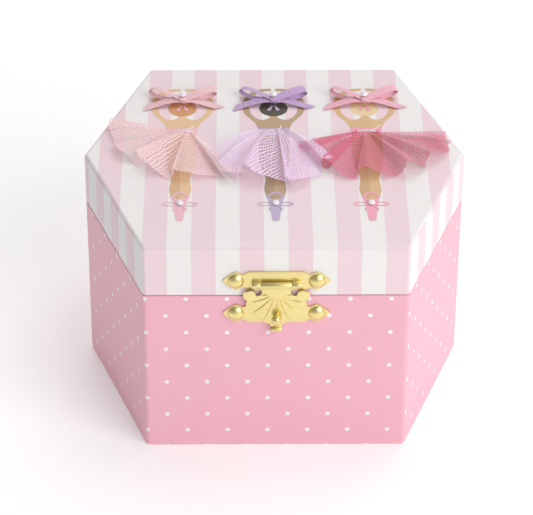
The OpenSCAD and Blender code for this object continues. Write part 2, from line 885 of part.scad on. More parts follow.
module governor_screw_at() {
    for (z = [gov_low_z + 3, gov_high_z - 3])
        translate([gov_plate_x - gov_foot_w / 2, bed_y, z]) rotate([90, 0, 0]) children();
}

module bearing_screw_at() {
    for (x = [-bracket_w / 2 + 2.5, bracket_w / 2 - 2.5])
        for (z = [lower_bearing_z + 3.4, upper_bearing_z - 2.2])
            translate([x, bed_y, z]) rotate([90, 0, 0]) children();
}

module comb_screw_at() {
    for (z = [comb_z + 3, comb_z + comb_h - 3])
        translate([heel_x + heel_w / 2, cyl_y + comb_t / 2, z]) rotate([90, 0, 0]) children();
}

// Cast bedplate against the back wall, with the raised seat that carries the comb.
module movement_bedplate() {
    color("darkgray") difference() {
        union() {
            translate([-bed_w / 2, bed_y, bed_z]) cube([bed_w, bedplate_t, deck_z - bed_z - 1]);
            translate([heel_x + 0.5, cyl_y + comb_t / 2, comb_z])
                cube([heel_w - 1, bed_y - cyl_y, comb_h]);
        }
        translate([0, 0, barrel_z]) bar_y(winding_r + running, bed_y - 1, back_y);
        for (p = mount_screw_pos) translate([-p[0], 0, p[1]]) bar_y(mount_screw_r + nail_fit, bed_y + 0.5, back_y);
        bearing_screw_at() translate([0, 0, -2.5]) cylinder(h = 5, r = screw_r + nail_fit, $fn = fine);
        governor_screw_at() translate([0, 0, -2.5]) cylinder(h = 5, r = screw_r + nail_fit, $fn = fine);
        comb_screw_at() translate([0, 0, -5]) cylinder(h = 8, r = screw_r + nail_fit, $fn = fine);
    }
}

module mounting_screws() {
    shank = inner_inset + bedplate_t - 0.6;
    color("silver") for (p = mount_screw_pos) on_back(p[1]) translate([p[0], 0, 0])
        screw(mount_screw_r, 2, 1.2, shank);
}

module movement_screws() {
    color("silver") {
        bearing_screw_at() translate([0, 0, ear_t]) screw(screw_r, 1.4, 0.9, 3.4);
        governor_screw_at() translate([0, 0, ear_t]) screw(screw_r, 1.4, 0.9, 3.4);
        comb_screw_at() translate([0, 0, comb_t + 1]) screw(screw_r, 1.6, 0.9, 5.5);
    }
}

// One flat arm per end of the cylinder, with ears that are screwed to the bedplate.
module bearing(z, ear_z0, ear_z1) {
    difference() {
        union() {
            translate([-4, cyl_y - 3, z]) cube([8, bed_y - cyl_y + 3, bearing_t]);
            translate([-bracket_w / 2, bed_y - ear_t, z]) cube([bracket_w, ear_t, bearing_t]);
            in_pairs() translate([bracket_w / 2 - 5, bed_y - ear_t, ear_z0]) cube([5, ear_t, ear_z1 - ear_z0]);
        }
        translate([0, cyl_y, z - 1]) cylinder(h = 5, r = arbor_r + running, $fn = fine);
        bearing_screw_at() translate([0, 0, -1]) cylinder(h = 5, r = screw_r + nail_fit, $fn = fine);
    }
}

module cylinder_bearings() {
    color("silver") {
        bearing(lower_bearing_z, lower_bearing_z, lower_bearing_z + 6);
        bearing(upper_bearing_z, upper_bearing_z - 4.5, upper_bearing_z + bearing_t);
    }
}

// Steel comb: a thick heel and one tine per note, reaching almost to the cylinder's pins.
module comb() {
    tip_x = cylinder_r + pin_l + tine_gap;
    color("lightsteelblue") difference() {
        union() {
            translate([heel_x, cyl_y - comb_t / 2 - 1, comb_z]) cube([heel_w, comb_t + 1, comb_h]);
            for (k = [0:tine_count - 1])
                translate([tip_x, cyl_y - comb_t / 2, comb_z + (k + 0.15) * tine_pitch])
                    cube([heel_x - tip_x + 0.5, 0.5, tine_pitch * 0.7]);
        }
        comb_screw_at() translate([0, 0, -2]) cylinder(h = 9, r = screw_r + nail_fit, $fn = fine);
    }
}

// Brass tube with a pin for each note of the tune, a few to each tine's track.
module music_cylinder() {
    wall = 0.7;
    notes = 3;
    color("gold") translate([0, cyl_y, cylinder_z]) difference() {
        union() {
            cylinder(h = cylinder_l, r = cylinder_r);
            for (k = [0:tine_count - 1]) for (j = [0:notes - 1])
                translate([0, 0, 0.5 + (k + 0.5) * tine_pitch])
                    rotate([0, 90, (k * 137 + j * j * 83 + j * 61) % turn]) translate([0, 0, cylinder_r - wall / 2])
                        cylinder(h = pin_l + wall / 2, r = pin_r, $fn = 16);
        }
        translate([0, 0, wall]) cylinder(h = cylinder_l - 2 * wall, r = cylinder_r - wall);
        translate([0, 0, -1]) cylinder(h = cylinder_l + 2, r = arbor_r, $fn = fine);
    }
}

module cylinder_arbor() {
    color("silver") translate([0, cyl_y, lower_bearing_z - 0.1])
        cylinder(h = spring_z - lower_bearing_z + 0.1, r = arbor_r, $fn = fine);
}

module cylinder_gears() {
    color("goldenrod") translate([0, cyl_y, 0]) {
        translate([0, 0, pinion_z]) rotate([0, 0, turn / pinion_teeth / 2]) linear_extrude(pinion_w) difference() {
            gear_2d(pinion_teeth, pinion_r - 0.7, pinion_r + 0.4, 0.75, 0.35);
            circle(r = arbor_r, $fn = fine);
        }
        translate([0, 0, wheel_z]) rotate([0, 0, turn / wheel_teeth / 2]) linear_extrude(wheel_w) difference() {
            gear_2d(wheel_teeth, wheel_r - 0.5, wheel_r + 0.3, 0.55, 0.3);
            circle(r = arbor_r, $fn = fine);
        }
    }
}

module turntable() {
    color("white") translate([0, cyl_y, table_z]) difference() {
        cylinder(h = table_t, r = table_r);
        translate([0, 0, -1]) cylinder(h = table_t + 2, r = arbor_r, $fn = fine);
    }
}

// Side plate with five lugs: two carry the upright arbor, two the worm and one guides the trip wire.
module governor_frame() {
    back = bed_y - gov_front_y;
    lug_x = gov_x + 1.6 - gov_plate_x;
    worm_lug = worm_x + 2 - gov_plate_x;
    color("silver") difference() {
        union() {
            translate([gov_plate_x, gov_front_y, gov_low_z]) cube([gov_plate_t, back, gov_high_z + lug_t - gov_low_z]);
            translate([gov_plate_x - gov_foot_w, bed_y - ear_t, gov_low_z])
                cube([gov_foot_w + gov_plate_t, ear_t, gov_high_z + lug_t - gov_low_z]);
            for (z = [gov_low_z, gov_high_z]) translate([gov_plate_x, cyl_y - 2, z]) cube([lug_x, 4, lug_t]);
            for (y = [gov_front_y, cyl_y + 7.4]) translate([gov_plate_x, y, worm_z - 2]) cube([worm_lug, lug_t, 4]);
            translate([gov_plate_x, trip_y - 2, trip_guide_z]) cube([worm_lug, 4, lug_t]);
        }
        translate([gov_x, cyl_y, 0]) cylinder(h = deck_z, r = gov_arbor_r + running, $fn = fine);
        translate([worm_x, 0, worm_z]) bar_y(worm_r + running, gov_front_y - 1, cyl_y + 10);
        translate([trip_x, trip_y, 0]) cylinder(h = deck_z, r = trip_r + running, $fn = fine);
        governor_screw_at() translate([0, 0, -1]) cylinder(h = 5, r = screw_r + nail_fit, $fn = fine);
    }
}

module governor_wheel() {
    color("goldenrod") translate([gov_x, cyl_y, 0]) {
        translate([0, 0, gov_low_z + 0.3]) cylinder(h = gov_high_z + 0.9 - gov_low_z, r = gov_arbor_r, $fn = fine);
        translate([0, 0, wheel_z - 0.3]) linear_extrude(wheel_w + 0.6)
            gear_2d(gov_teeth, gov_r - 0.5, gov_r + 0.3, 0.6, 0.3);
        translate([0, 0, worm_z - worm_wheel_w / 2]) linear_extrude(worm_wheel_w)
            gear_2d(worm_teeth, worm_wheel_r - 0.45, worm_wheel_r + 0.3, 0.6, 0.4);
    }
}

// Worm and air-brake fan on one shaft.
module governor_fan() {
    thread_turns = 3;
    thread_r = 0.3;
    color("goldenrod") translate([worm_x, 0, worm_z]) {
        bar_y(worm_r, gov_front_y + 0.5, cyl_y + 8.5);
        bar_y(0.85, cyl_y - 2.8, cyl_y + 2.8);
        translate([0, cyl_y, 0]) rotate([-90, 0, 0])
            translate([0, 0, -thread_turns * worm_pitch / 2 - thread_r])
                coil(1.1, thread_r, worm_pitch, thread_turns, 6, 20);
        bar_y(1.2, fan_y, fan_y + fan_l);
        translate([-fan_r, fan_y, -0.2]) cube([2 * fan_r, fan_l, 0.4]);
    }
}

// The wire rises as the lid lifts off its cap; closed, its foot stands just over the fan.
module trip_wire() {
    top = mirror_z - 0.5;
    color("silver") translate([trip_x, trip_y, 0]) {
        translate([0, 0, trip_low_z]) cylinder(h = top - trip_low_z - 1, r = trip_r, $fn = fine);
        translate([0, 0, trip_guide_z + lug_t + trip_spring_l]) cylinder(h = 0.6, r = 1.7, $fn = fine);
        translate([0, 0, top - 1.5]) sphere(r = 1.5, $fn = fine);
    }
}

module trip_spring() {
    wire = 0.15;
    turns = 5;
    color("slategray") translate([trip_x, trip_y, trip_guide_z + lug_t])
        coil(1.1, wire, (trip_spring_l - 2 * wire) / turns, turns, 6, 12);
}

// ---- Dancer ----

module leaning() {
    translate([0, cyl_y, pivot_z]) rotate([lean, 0, 0]) translate([0, 0, spring_l / 2]) children();
}

module dancer_spring() {
    pitch = (spring_l - 2 * spring_wire_r) / spring_turns;
    color("silver") translate([0, cyl_y, spring_z])
        coil(spring_r, spring_wire_r, pitch, spring_turns, 6, 16, lean);
}

module dancer_collar() {
    color("gold") leaning() difference() {
        translate([0, 0, collar_seat]) cylinder(h = collar_l - collar_seat, r = collar_r);
        translate([0, 0, collar_seat + collar_floor_t]) cylinder(h = collar_l, r = peg_r + running, $fn = fine);
    }
}

// Turned body en pointe with both arms raised in a ring.
module dancer_figure() {
    h = dancer_h;
    profile = [
        [0, 0], [0.9, 0], [1.1, 0.1], [1.6, 0.22], [1.35, 0.28], [2.2, 0.45], [2.9, 0.53], [1.9, 0.6],
        [2.5, 0.69], [2.2, 0.74], [0.9, 0.77], [0.9, 0.84], [0, 0.84]
    ];
    shoulder = 0.735 * h;
    peg_l = collar_l - collar_seat - collar_floor_t - peg_end_gap;
    color("peachpuff") leaning() translate([0, 0, collar_l]) {
        translate([0, 0, -peg_l]) cylinder(h = peg_l + 1, r = peg_r, $fn = fine);
        translate([0, 0, 0.3]) rotate_extrude() polygon([for (p = profile) [p[0], p[1] * h]]);
        translate([0, 0, 0.88 * h]) sphere(r = 0.06 * h);
        translate([0, 0.045 * h, 0.91 * h]) sphere(r = 0.032 * h, $fn = fine);
        in_pairs() {
            limb([0, 0, shoulder], [0.085 * h, 0, shoulder], 1.1, 1);
            limb([0.085 * h, 0, shoulder], [0.16 * h, -0.03 * h, 0.88 * h], 0.9, 0.7);
            limb([0.16 * h, -0.03 * h, 0.88 * h], [0.025 * h, -0.02 * h, 0.985 * h], 0.7, 0.45);
        }
    }
}

module dancer_tutu() {
    r = dancer_tutu_r;
    color("pink") leaning() translate([0, 0, collar_l + waist_z]) rotate_extrude()
        polygon([[2.6, -0.9], [r, -3], [r, -1.6], [2.3, 0.6]]);
}

base_walls();
base_floor();
base_wrap();
base_bottom_paper();
base_lining();
tray_pad();
partition();
dividers();
ring_block();
ring_rolls();
deck();
catch_plate();
catch_nails();
hinge_base_leaves();
hinge_base_nails();
hinge_pins();
key_escutcheon();
movement_bedplate();
mounting_screws();
cylinder_bearings();
comb();
movement_screws();
governor_frame();
lid_top_board();
lid_wall_boards();
lid_wrap();
lid_lining();
mirror_plate();  // mirror
mirror_frame();
hinge_lid_leaves();
hinge_lid_nails();
clasp_lid_plate();
lid_plate_nails();
clasp_pin();
tutu_left();
tutu_middle();
tutu_right();
waist_threads();
bow_left();
bow_middle();
bow_right();
gems();
clasp_hasp();
clasp_knob();
winding_key();
winding_arbor();
mainspring_barrel();
mainspring();
music_cylinder();
cylinder_arbor();
cylinder_gears();
turntable();
governor_wheel();
governor_fan();
trip_wire();
trip_spring();
dancer_spring();
dancer_collar();
dancer_figure();
dancer_tutu();
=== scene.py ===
"""Looks of the ballerina jewellery box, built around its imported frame.

Everything is in metres, in the frame's own axes: +X right, +Y back, +Z up. Sizes that a maker
would read off a drawing are given in millimetres and turned into metres by MM.
"""

from __future__ import annotations

import json
import logging
import math
import random
from collections.abc import Iterable, Iterator, Sequence
from contextlib import contextmanager
from dataclasses import dataclass
from enum import Enum

import bmesh
import bpy
from mathutils import Matrix, Vector

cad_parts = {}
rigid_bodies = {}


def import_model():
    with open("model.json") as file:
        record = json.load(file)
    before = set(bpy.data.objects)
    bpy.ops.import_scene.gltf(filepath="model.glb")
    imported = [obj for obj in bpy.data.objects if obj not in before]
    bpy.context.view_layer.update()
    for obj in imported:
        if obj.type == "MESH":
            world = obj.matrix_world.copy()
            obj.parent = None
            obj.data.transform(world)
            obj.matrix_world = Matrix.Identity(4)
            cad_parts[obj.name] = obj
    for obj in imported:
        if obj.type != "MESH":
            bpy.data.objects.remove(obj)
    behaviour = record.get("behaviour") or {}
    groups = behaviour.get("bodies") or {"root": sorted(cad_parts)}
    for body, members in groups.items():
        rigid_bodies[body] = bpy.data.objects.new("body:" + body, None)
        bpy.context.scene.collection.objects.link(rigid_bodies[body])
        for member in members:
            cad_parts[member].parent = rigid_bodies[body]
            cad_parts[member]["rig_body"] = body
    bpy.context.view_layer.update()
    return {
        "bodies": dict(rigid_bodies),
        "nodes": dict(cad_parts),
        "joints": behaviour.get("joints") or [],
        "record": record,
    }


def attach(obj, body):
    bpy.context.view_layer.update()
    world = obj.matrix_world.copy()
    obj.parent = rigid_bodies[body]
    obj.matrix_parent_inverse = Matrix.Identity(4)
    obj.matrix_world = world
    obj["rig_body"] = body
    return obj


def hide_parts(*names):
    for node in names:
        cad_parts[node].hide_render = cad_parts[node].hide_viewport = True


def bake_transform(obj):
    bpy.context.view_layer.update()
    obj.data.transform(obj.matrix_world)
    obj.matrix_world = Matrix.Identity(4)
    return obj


LOG = logging.getLogger("jewellery_box")
MM = 0.001
Colour = tuple[float, float, float]
Point = tuple[float, float]
Loop = list[tuple[float, float, float]]


# ---- Hand tools: selecting, shaping and finishing a mesh ----


def alone(obj: bpy.types.Object) -> None:
    """Deselect everything, then select obj and make it active.

    Args:
        obj: The object to work on.
    """
    for other in bpy.context.view_layer.objects.selected[:]:
        other.select_set(False)
    obj.select_set(True)
    bpy.context.view_layer.objects.active = obj


@contextmanager
def editing(obj: bpy.types.Object) -> Iterator[bmesh.types.BMesh]:
    """Edit obj's mesh with nothing selected, in vertex mode.

    Args:
        obj: The mesh object.

    Returns:
        The mesh being edited, for selecting its parts in code.
    """
    alone(obj)
    bpy.ops.object.mode_set(mode="EDIT")
    bpy.ops.mesh.select_mode(type="VERT")
    bpy.ops.mesh.select_all(action="DESELECT")
    yield bmesh.from_edit_mesh(obj.data)
    bpy.ops.object.mode_set(mode="OBJECT")


def settle(obj: bpy.types.Object) -> bpy.types.Object:
    """Apply obj's modifiers and its place, so that its object sits at the origin.

    Args:
        obj: The mesh object.

    Returns:
        The same object.
    """
    alone(obj)
    for modifier in list(obj.modifiers):
        bpy.ops.object.modifier_apply(modifier=modifier.name)
    bpy.ops.object.transform_apply(location=True, rotation=True, scale=True)
    return obj


def modify(obj: bpy.types.Object, kind: str, **values: object) -> None:
    """Add one modifier and apply it.

    Args:
        obj: The mesh object.
        kind: The modifier's type, such as "BEVEL".
        values: The modifier's settings by name.
    """
    alone(obj)
    modifier = obj.modifiers.new(kind.lower(), kind)
    for key, value in values.items():
        setattr(modifier, key, value)
    bpy.ops.object.modifier_apply(modifier=modifier.name)


def smooth(obj: bpy.types.Object, degrees: float = 35) -> None:
    """Shade obj smooth, with edges sharper than an angle left crisp."""
    alone(obj)
    bpy.ops.object.shade_smooth_by_angle(angle=math.radians(degrees))


def join(name: str, parts: Sequence[bpy.types.Object]) -> bpy.types.Object:
    """Join several meshes into the first and name the result.

    Args:
        name: The name of the joined object.
        parts: The meshes to join.

    Returns:
        The joined object.
    """
    alone(parts[0])
    for part in parts[1:]:
        part.select_set(True)
    if len(parts) > 1:
        bpy.ops.object.join()
    parts[0].name = name
    parts[0].data.name = name
    return parts[0]


def named(name: str) -> bpy.types.Object:
    """Name the active object and its mesh, and return it."""
    obj = bpy.context.active_object
    obj.name = name
    obj.data.name = name
    return obj


def loft(name: str, loops: Sequence[Loop], closed: bool = True,
        caps: tuple[bool, bool] = (False, False)) -> bpy.types.Object:
    """Skin a row of loops, extruding each from the one before.

    Args:
        name: The new object's name.
        loops: Loops of points in metres, all with the same number of points.
        closed: Whether each loop meets its own start.
        caps: Whether the first and the last loop are filled.

    Returns:
        The new mesh object.
    """
    count = len(loops[0])
    bpy.ops.object.select_all(action="DESELECT")
    bpy.ops.mesh.primitive_grid_add(
        x_subdivisions=count if closed else count - 1, y_subdivisions=len(loops) - 1, size=1,
        calc_uvs=True
    )
    obj = named(name)
    row = count + 1 if closed else count
    flat = []
    for loop in loops:
        points = [*loop, loop[0]] if closed else loop
        flat.extend(c for point in points for c in point)
    assert len(obj.data.vertices) == row * len(loops)
    obj.data.vertices.foreach_set("co", flat)
    obj.data.update()
    with editing(obj) as mesh:
        if closed:
            bpy.ops.mesh.select_all(action="SELECT")
            bpy.ops.mesh.remove_doubles(threshold=1e-7)
            bpy.ops.mesh.select_all(action="DESELECT")
            mesh = bmesh.from_edit_mesh(obj.data)
        for wanted, loop in zip(caps, (loops[0], loops[-1])):
            if wanted:
                spots = {tuple(round(c, 7) for c in point) for point in loop}
                bpy.ops.mesh.select_mode(type="VERT")
                for vertex in mesh.verts:
                    vertex.select_set(tuple(round(c, 7) for c in vertex.co) in spots)
                bpy.ops.mesh.edge_face_add()
                bpy.ops.mesh.select_all(action="DESELECT")
        bpy.ops.mesh.select_all(action="SELECT")
        bpy.ops.mesh.normals_make_consistent(inside=False)
    return obj


def tube(
    name: str, path: Sequence[Sequence[float]], radius: float, sides: int = 8,
    shares: Sequence[float] = ()
) -> bpy.types.Object:
    """A round tube along a smooth path, closed at both ends.

    Args:
        name: The new object's name.
        path: Points that the tube passes, in metres.
        radius: The tube's radius in metres.
        sides: Faces round the tube.
        shares: The share of that radius at each point, where it tapers.

    Returns:
        The new mesh object.
    """
    curve = bpy.data.curves.new(name, "CURVE")
    curve.dimensions = "3D"
    curve.resolution_u = 4
    curve.bevel_depth = radius
    curve.bevel_resolution = max(0, sides // 2 - 2)
    curve.use_fill_caps = True
    spline = curve.splines.new("NURBS")
    spline.points.add(len(path) - 1)
    for k, (spot, place) in enumerate(zip(spline.points, path)):
        spot.co = (*place, 1)
        spot.radius = shares[k] if shares else 1.0
    spline.use_endpoint_u = True
    spline.order_u = 4
    obj = bpy.data.objects.new(name, curve)
    bpy.context.collection.objects.link(obj)
    alone(obj)
    bpy.ops.object.convert(target="MESH")
    obj.data.name = name
    bpy.ops.object.shade_smooth()
    return obj


def map_cloth(obj: bpy.types.Object, across: float, along: float) -> None:
    """Scale the first UV map so that it reads in millimetres of cloth."""
    layer = obj.data.uv_layers[0]
    layer.name = "cloth"
    for spot in layer.data:
        spot.uv = (spot.uv[0] * across, spot.uv[1] * along)


def map_fan(obj: bpy.types.Object, reach: float, spread: float, start: float) -> None:
    """Map a fan-cut cloth flat, so that its threads keep their spacing.

    Args:
        obj: A loft whose first map runs across in X and from the gathered edge to the hem in Y.
        reach: How far the hem is from the fan's centre, in millimetres.
        spread: The fan's angle, in radians.
        start: How far the gathered edge is from the centre, in millimetres.
    """
    layer = obj.data.uv_layers[0]
    layer.name = "cloth"
    for spot in layer.data:
        angle, radius = spot.uv[0] * spread, start + spot.uv[1] * (reach - start)
        spot.uv = (radius * math.cos(angle), radius * math.sin(angle))


def flowing(points: Sequence[Sequence[float]], steps: int = 4) -> list[tuple[float, ...]]:
    """A smooth line through points of any dimension.

    Args:
        points: The points that it passes.
        steps: How many pieces there are between one and the next.

    Returns:
        The points of the line, the given ones among them.
    """
    spots = [Vector(p) for p in (points[0], *points, points[-1])]
    out = []
    for a, b, c, d in zip(spots, spots[1:], spots[2:], spots[3:]):
        for k in range(steps):
            t = k / steps
            out.append(tuple(
                (2 * b + (c - a) * t + (2 * a - 5 * b + 4 * c - d) * t**2 + (3 * b - 3 * c + d - a) * t**3) * 0.5
            ))
    return [*out, tuple(points[-1])]


# ---- Node groups: effects that several finishes share ----


class Nodes:
    """Short ways to add and join nodes in one tree."""

    def __init__(self, tree: bpy.types.NodeTree) -> None:
        """Keep the tree to build in."""
        self.tree = tree

    def add(self, kind: str, **values: object) -> bpy.types.Node:
        """Add a node.

        Args:
            kind: The node's type without its "ShaderNode" prefix.
            values: Settings of the node, or values of its inputs by name with _ for a space.

        Returns:
            The new node.
        """
        node = self.tree.nodes.new("ShaderNode" + kind)
        for key, value in values.items():
            if hasattr(node, key):
                setattr(node, key, value)
            else:
                self.put(node.inputs[key.replace("_", " ")], value)
        return node

    def put(self, socket: bpy.types.NodeSocket, value: object) -> None:
        """Set an input's value, or link it where the value is another node's output."""
        if isinstance(value, bpy.types.NodeSocket):
            self.tree.links.new(value, socket)
        elif isinstance(value, tuple) and len(value) == 3 and socket.type == "RGBA":
            socket.default_value = (*value, 1)
        else:
            socket.default_value = value

    def math(self, how: str, *values: object) -> bpy.types.NodeSocket:
        """The result of a Math node on one to three values."""
        node = self.tree.nodes.new("ShaderNodeMath")
        node.operation = how
        for socket, value in zip(node.inputs, values):
            self.put(socket, value)
        return node.outputs[0]

    def mix(self, share: object, first: object, second: object) -> bpy.types.NodeSocket:
        """A colour mixed from two."""
        node = self.tree.nodes.new("ShaderNodeMix")
        node.data_type = "RGBA"
        self.put(node.inputs[0], share)
        self.put(node.inputs[6], first)
        self.put(node.inputs[7], second)
        return node.outputs[2]

    def step(self, value: object, low: float, high: float,
            to: Point = (0, 1)) -> bpy.types.NodeSocket:
        """A smooth step of value between low and high."""
        return self.add(
            "MapRange", interpolation_type="SMOOTHSTEP", Value=value, From_Min=low, From_Max=high,
            To_Min=to[0], To_Max=to[1]
        ).outputs[0]


class SharedEffect(Enum):
    """The node groups that several finishes use."""

    FIBRES = "paper_fibres"
    PILE = "cut_pile"
    BRUSHED = "polishing_lines"
    RIBS = "corded_ribs"


class Workshop:
    """Builds each shared node group once and hands it out."""

    def __init__(self) -> None:
        """Start with no group built."""
        self.made: dict[SharedEffect, bpy.types.NodeTree] = {}

    def group(self, effect: SharedEffect) -> bpy.types.NodeTree:
        """The node group of an effect, built the first time it is asked for."""
        if effect not in self.made:
            self.made[effect] = getattr(self, "_" + effect.name.lower())(effect.value)
        return self.made[effect]

    @staticmethod
    def _tree(name: str, inputs: dict[str, float], outputs: Sequence[str]) -> tuple[Nodes, dict]:
        """An empty group tree with a vector input, number inputs and number outputs.

        Args:
            name: The group's name.
            inputs: Number inputs and their defaults.
            outputs: Names of the number outputs.

        Returns:
            The tree's node maker, and its group input's sockets and group output by name.
        """
        tree = bpy.data.node_groups.new(name, "ShaderNodeTree")
        tree.interface.new_socket("Vector", in_out="INPUT", socket_type="NodeSocketVector")
        for key, value in inputs.items():
            tree.interface.new_socket(key, in_out="INPUT",
                socket_type="NodeSocketFloat").default_value = value
        for key in outputs:
            tree.interface.new_socket(key, in_out="OUTPUT", socket_type="NodeSocketFloat")
        nodes = Nodes(tree)
        sockets = {s.name: s for s in tree.nodes.new("NodeGroupInput").outputs if s.name}
        sockets["out"] = tree.nodes.new("NodeGroupOutput")
        return nodes, sockets

    def _fibres(self, name: str) -> bpy.types.NodeTree:
        """Paper: fine fibres, a slow waviness where it is glued down, and faint mottling."""
        n, s = self._tree(name, {"Scale": 1.0}, ("Height", "Wave", "Mottle"))
        fine = n.add("TexNoise", Vector=s["Vector"], Scale=n.math("MULTIPLY", s["Scale"], 2.2),
            Detail=3.0)
        slow = n.add("TexNoise", Vector=s["Vector"], Scale=n.math("MULTIPLY", s["Scale"], 0.045),
            Detail=1.5)
        blotch = n.add("TexNoise", Vector=s["Vector"], Scale=n.math("MULTIPLY", s["Scale"], 0.35),
            Detail=4.0)
        n.put(s["out"].inputs["Height"], fine.outputs["Fac"])
        n.put(s["out"].inputs["Wave"], slow.outputs["Fac"])
        n.put(s["out"].inputs["Mottle"], blotch.outputs["Fac"])
        return n.tree

    def _pile(self, name: str) -> bpy.types.NodeTree:
        """Flocked or cut pile: fine bumps, and patches where the pile lies another way."""
        n, s = self._tree(name, {"Scale": 1.0}, ("Height", "Nap"))
        tufts = n.add("TexVoronoi", Vector=s["Vector"], Scale=n.math("MULTIPLY", s["Scale"], 3.2))
        fuzz = n.add("TexNoise", Vector=s["Vector"], Scale=n.math("MULTIPLY", s["Scale"], 5.0),
            Detail=2.0)
        nap = n.add("TexNoise", Vector=s["Vector"], Scale=n.math("MULTIPLY", s["Scale"], 0.16),
            Detail=3.0)
        mixed = n.math("ADD", n.math("MULTIPLY", tufts.outputs["Distance"], 0.7),
            fuzz.outputs["Fac"])
        n.put(s["out"].inputs["Height"], mixed)
        n.put(s["out"].inputs["Nap"], nap.outputs["Fac"])
        return n.tree

    def _brushed(self, name: str) -> bpy.types.NodeTree:
        """Metal: polishing lines one way, and handling marks."""
        n, s = self._tree(name, {"Scale": 1.0}, ("Lines", "Smudge"))
        stretched = n.add("Mapping", Vector=s["Vector"])
        stretched.inputs["Scale"].default_value = (0.35, 3.0, 3.0)
        lines = n.add("TexNoise", Vector=stretched.outputs[0],
            Scale=n.math("MULTIPLY", s["Scale"], 2.5), Detail=3.0)
        smudge = n.add("TexNoise", Vector=s["Vector"], Scale=n.math("MULTIPLY", s["Scale"], 0.4),
            Detail=3.0)
        n.put(s["out"].inputs["Lines"], lines.outputs["Fac"])
        n.put(s["out"].inputs["Smudge"], smudge.outputs["Fac"])
        return n.tree

    def _ribs(self, name: str) -> bpy.types.NodeTree:
        """Ribbon: cross ribs along the cloth's length, with the warp threads across them, and a painted-shade
        mask for the hollows between the ribs.
        """
        n, s = self._tree(name, {"Pitch": 0.75}, ("Height", "Shade"))
        parts = n.add("SeparateXYZ", Vector=s["Vector"])
        half = n.math("MULTIPLY", s["Pitch"], 0.5)
        rib = n.math("DIVIDE", n.math("PINGPONG", parts.outputs["X"], half), half)
        thread = n.math("MULTIPLY", n.math("PINGPONG", parts.outputs["Y"], 0.09), 2.5)
        n.put(s["out"].inputs["Height"], n.math("ADD", n.step(rib, 0.0, 0.8), thread))
        # Painted shade: this mask darkens the colour in the hollows between the ribs, where shade would fall.
        n.put(s["out"].inputs["Shade"], n.step(rib, 0.05, 0.55))
        return n.tree


WORKSHOP = Workshop()


@dataclass(frozen=True)
class Finish:
    """A material finish. Subclasses say how its shader is built."""

    name: str
    colour: Colour
    roughness: float = 0.5

    def material(self) -> bpy.types.Material:
        """The Blender material of this finish, made once."""
        found = bpy.data.materials.get(self.name)
        if found:
            return found
        made = bpy.data.materials.new(self.name)
        made.use_nodes = True
        nodes = Nodes(made.node_tree)
        shader = made.node_tree.nodes["Principled BSDF"]
        nodes.put(shader.inputs["Base Color"], self.colour)
        nodes.put(shader.inputs["Roughness"], self.roughness)
        self.build(nodes, shader)
        return made

    def build(self, n: Nodes, shader: bpy.types.Node) -> None:
        """Add this finish's own nodes."""

    @staticmethod
    def place(n: Nodes, cloth: bool = False) -> bpy.types.NodeSocket:
        """Coordinates in millimetres, from the object's axes or from the cloth's own map."""
        if cloth:
            return n.add("UVMap", uv_map="cloth").outputs[0]
        scaled = n.add("VectorMath", operation="SCALE", Scale=1000.0)
        n.put(scaled.inputs[0], n.add("TexCoord").outputs["Object"])
        return scaled.outputs[0]

    @staticmethod
    def effect(n: Nodes, effect: SharedEffect, place: bpy.types.NodeSocket,
            **values: float) -> bpy.types.Node:
        """Add a shared effect's group node.

        Args:
            n: The material's node maker.
            effect: Which effect.
            place: The coordinates that it reads.
            values: Its other inputs by name.

        Returns:
            The group node.
        """
        node = n.tree.nodes.new("ShaderNodeGroup")
        node.node_tree = WORKSHOP.group(effect)
        n.put(node.inputs["Vector"], place)
        for key, value in values.items():
            n.put(node.inputs[key], value)
        return node

    @staticmethod
    def bump(n: Nodes, shader: bpy.types.Node, height: bpy.types.NodeSocket, depth: float,
            strength: float = 1.0) -> None:
        """Feed the shader's normal from a height in millimetres of relief."""
        node = n.add("Bump", Strength=strength, Distance=depth * MM, Height=height)
        n.put(shader.inputs["Normal"], node.outputs[0])


@dataclass(frozen=True)
class Paper(Finish):
    """Coated wrapping paper in one colour."""

    shine: float = 0.25

    def ground(self, n: Nodes, place: bpy.types.NodeSocket) -> object:
        """The printed colour before mottling."""
        return self.colour

    def build(self, n: Nodes, shader: bpy.types.Node) -> None:
        """Print, mottling, fibres and a soft coat."""
        place = self.place(n)
        fibres = self.effect(n, SharedEffect.FIBRES, place)
        ground = self.ground(n, place)
        shade = n.math("MULTIPLY", n.math("SUBTRACT", fibres.outputs["Mottle"], 0.5), 0.10)
        n.put(shader.inputs["Base Color"], n.mix(n.math("ADD", shade, 0.03), ground, (0.55, 0.42,
            0.44)))
        rough = n.math("ADD", n.math("MULTIPLY", fibres.outputs["Height"], 0.16),
            self.roughness - 0.08)
        n.put(shader.inputs["Roughness"], rough)
        n.put(shader.inputs["Coat Weight"], self.shine)
        n.put(shader.inputs["Coat Roughness"], 0.32)
        relief = n.math(
            "ADD", n.math("MULTIPLY", fibres.outputs["Height"], 0.05),
            n.math("MULTIPLY", fibres.outputs["Wave"], 1.4)
        )
        self.bump(n, shader, relief, 0.5, 0.6)


@dataclass(frozen=True)
class StripedPaper(Paper):
    """Paper printed with even stripes that run along the cloth map's second axis."""

    second: Colour = (0.87, 0.685, 0.735)
    stripe: float = 8.82
    soft: float = 0.12

    def ground(self, n: Nodes, place: bpy.types.NodeSocket) -> bpy.types.NodeSocket:
        """White and pink stripes, with a white one in the middle."""
        across = n.add("SeparateXYZ", Vector=self.place(n, cloth=True)).outputs["X"]
        wave = n.math("PINGPONG", across, self.stripe)
        return n.mix(n.step(wave, self.stripe / 2 - self.soft, self.stripe / 2 + self.soft),
            self.colour, self.second)


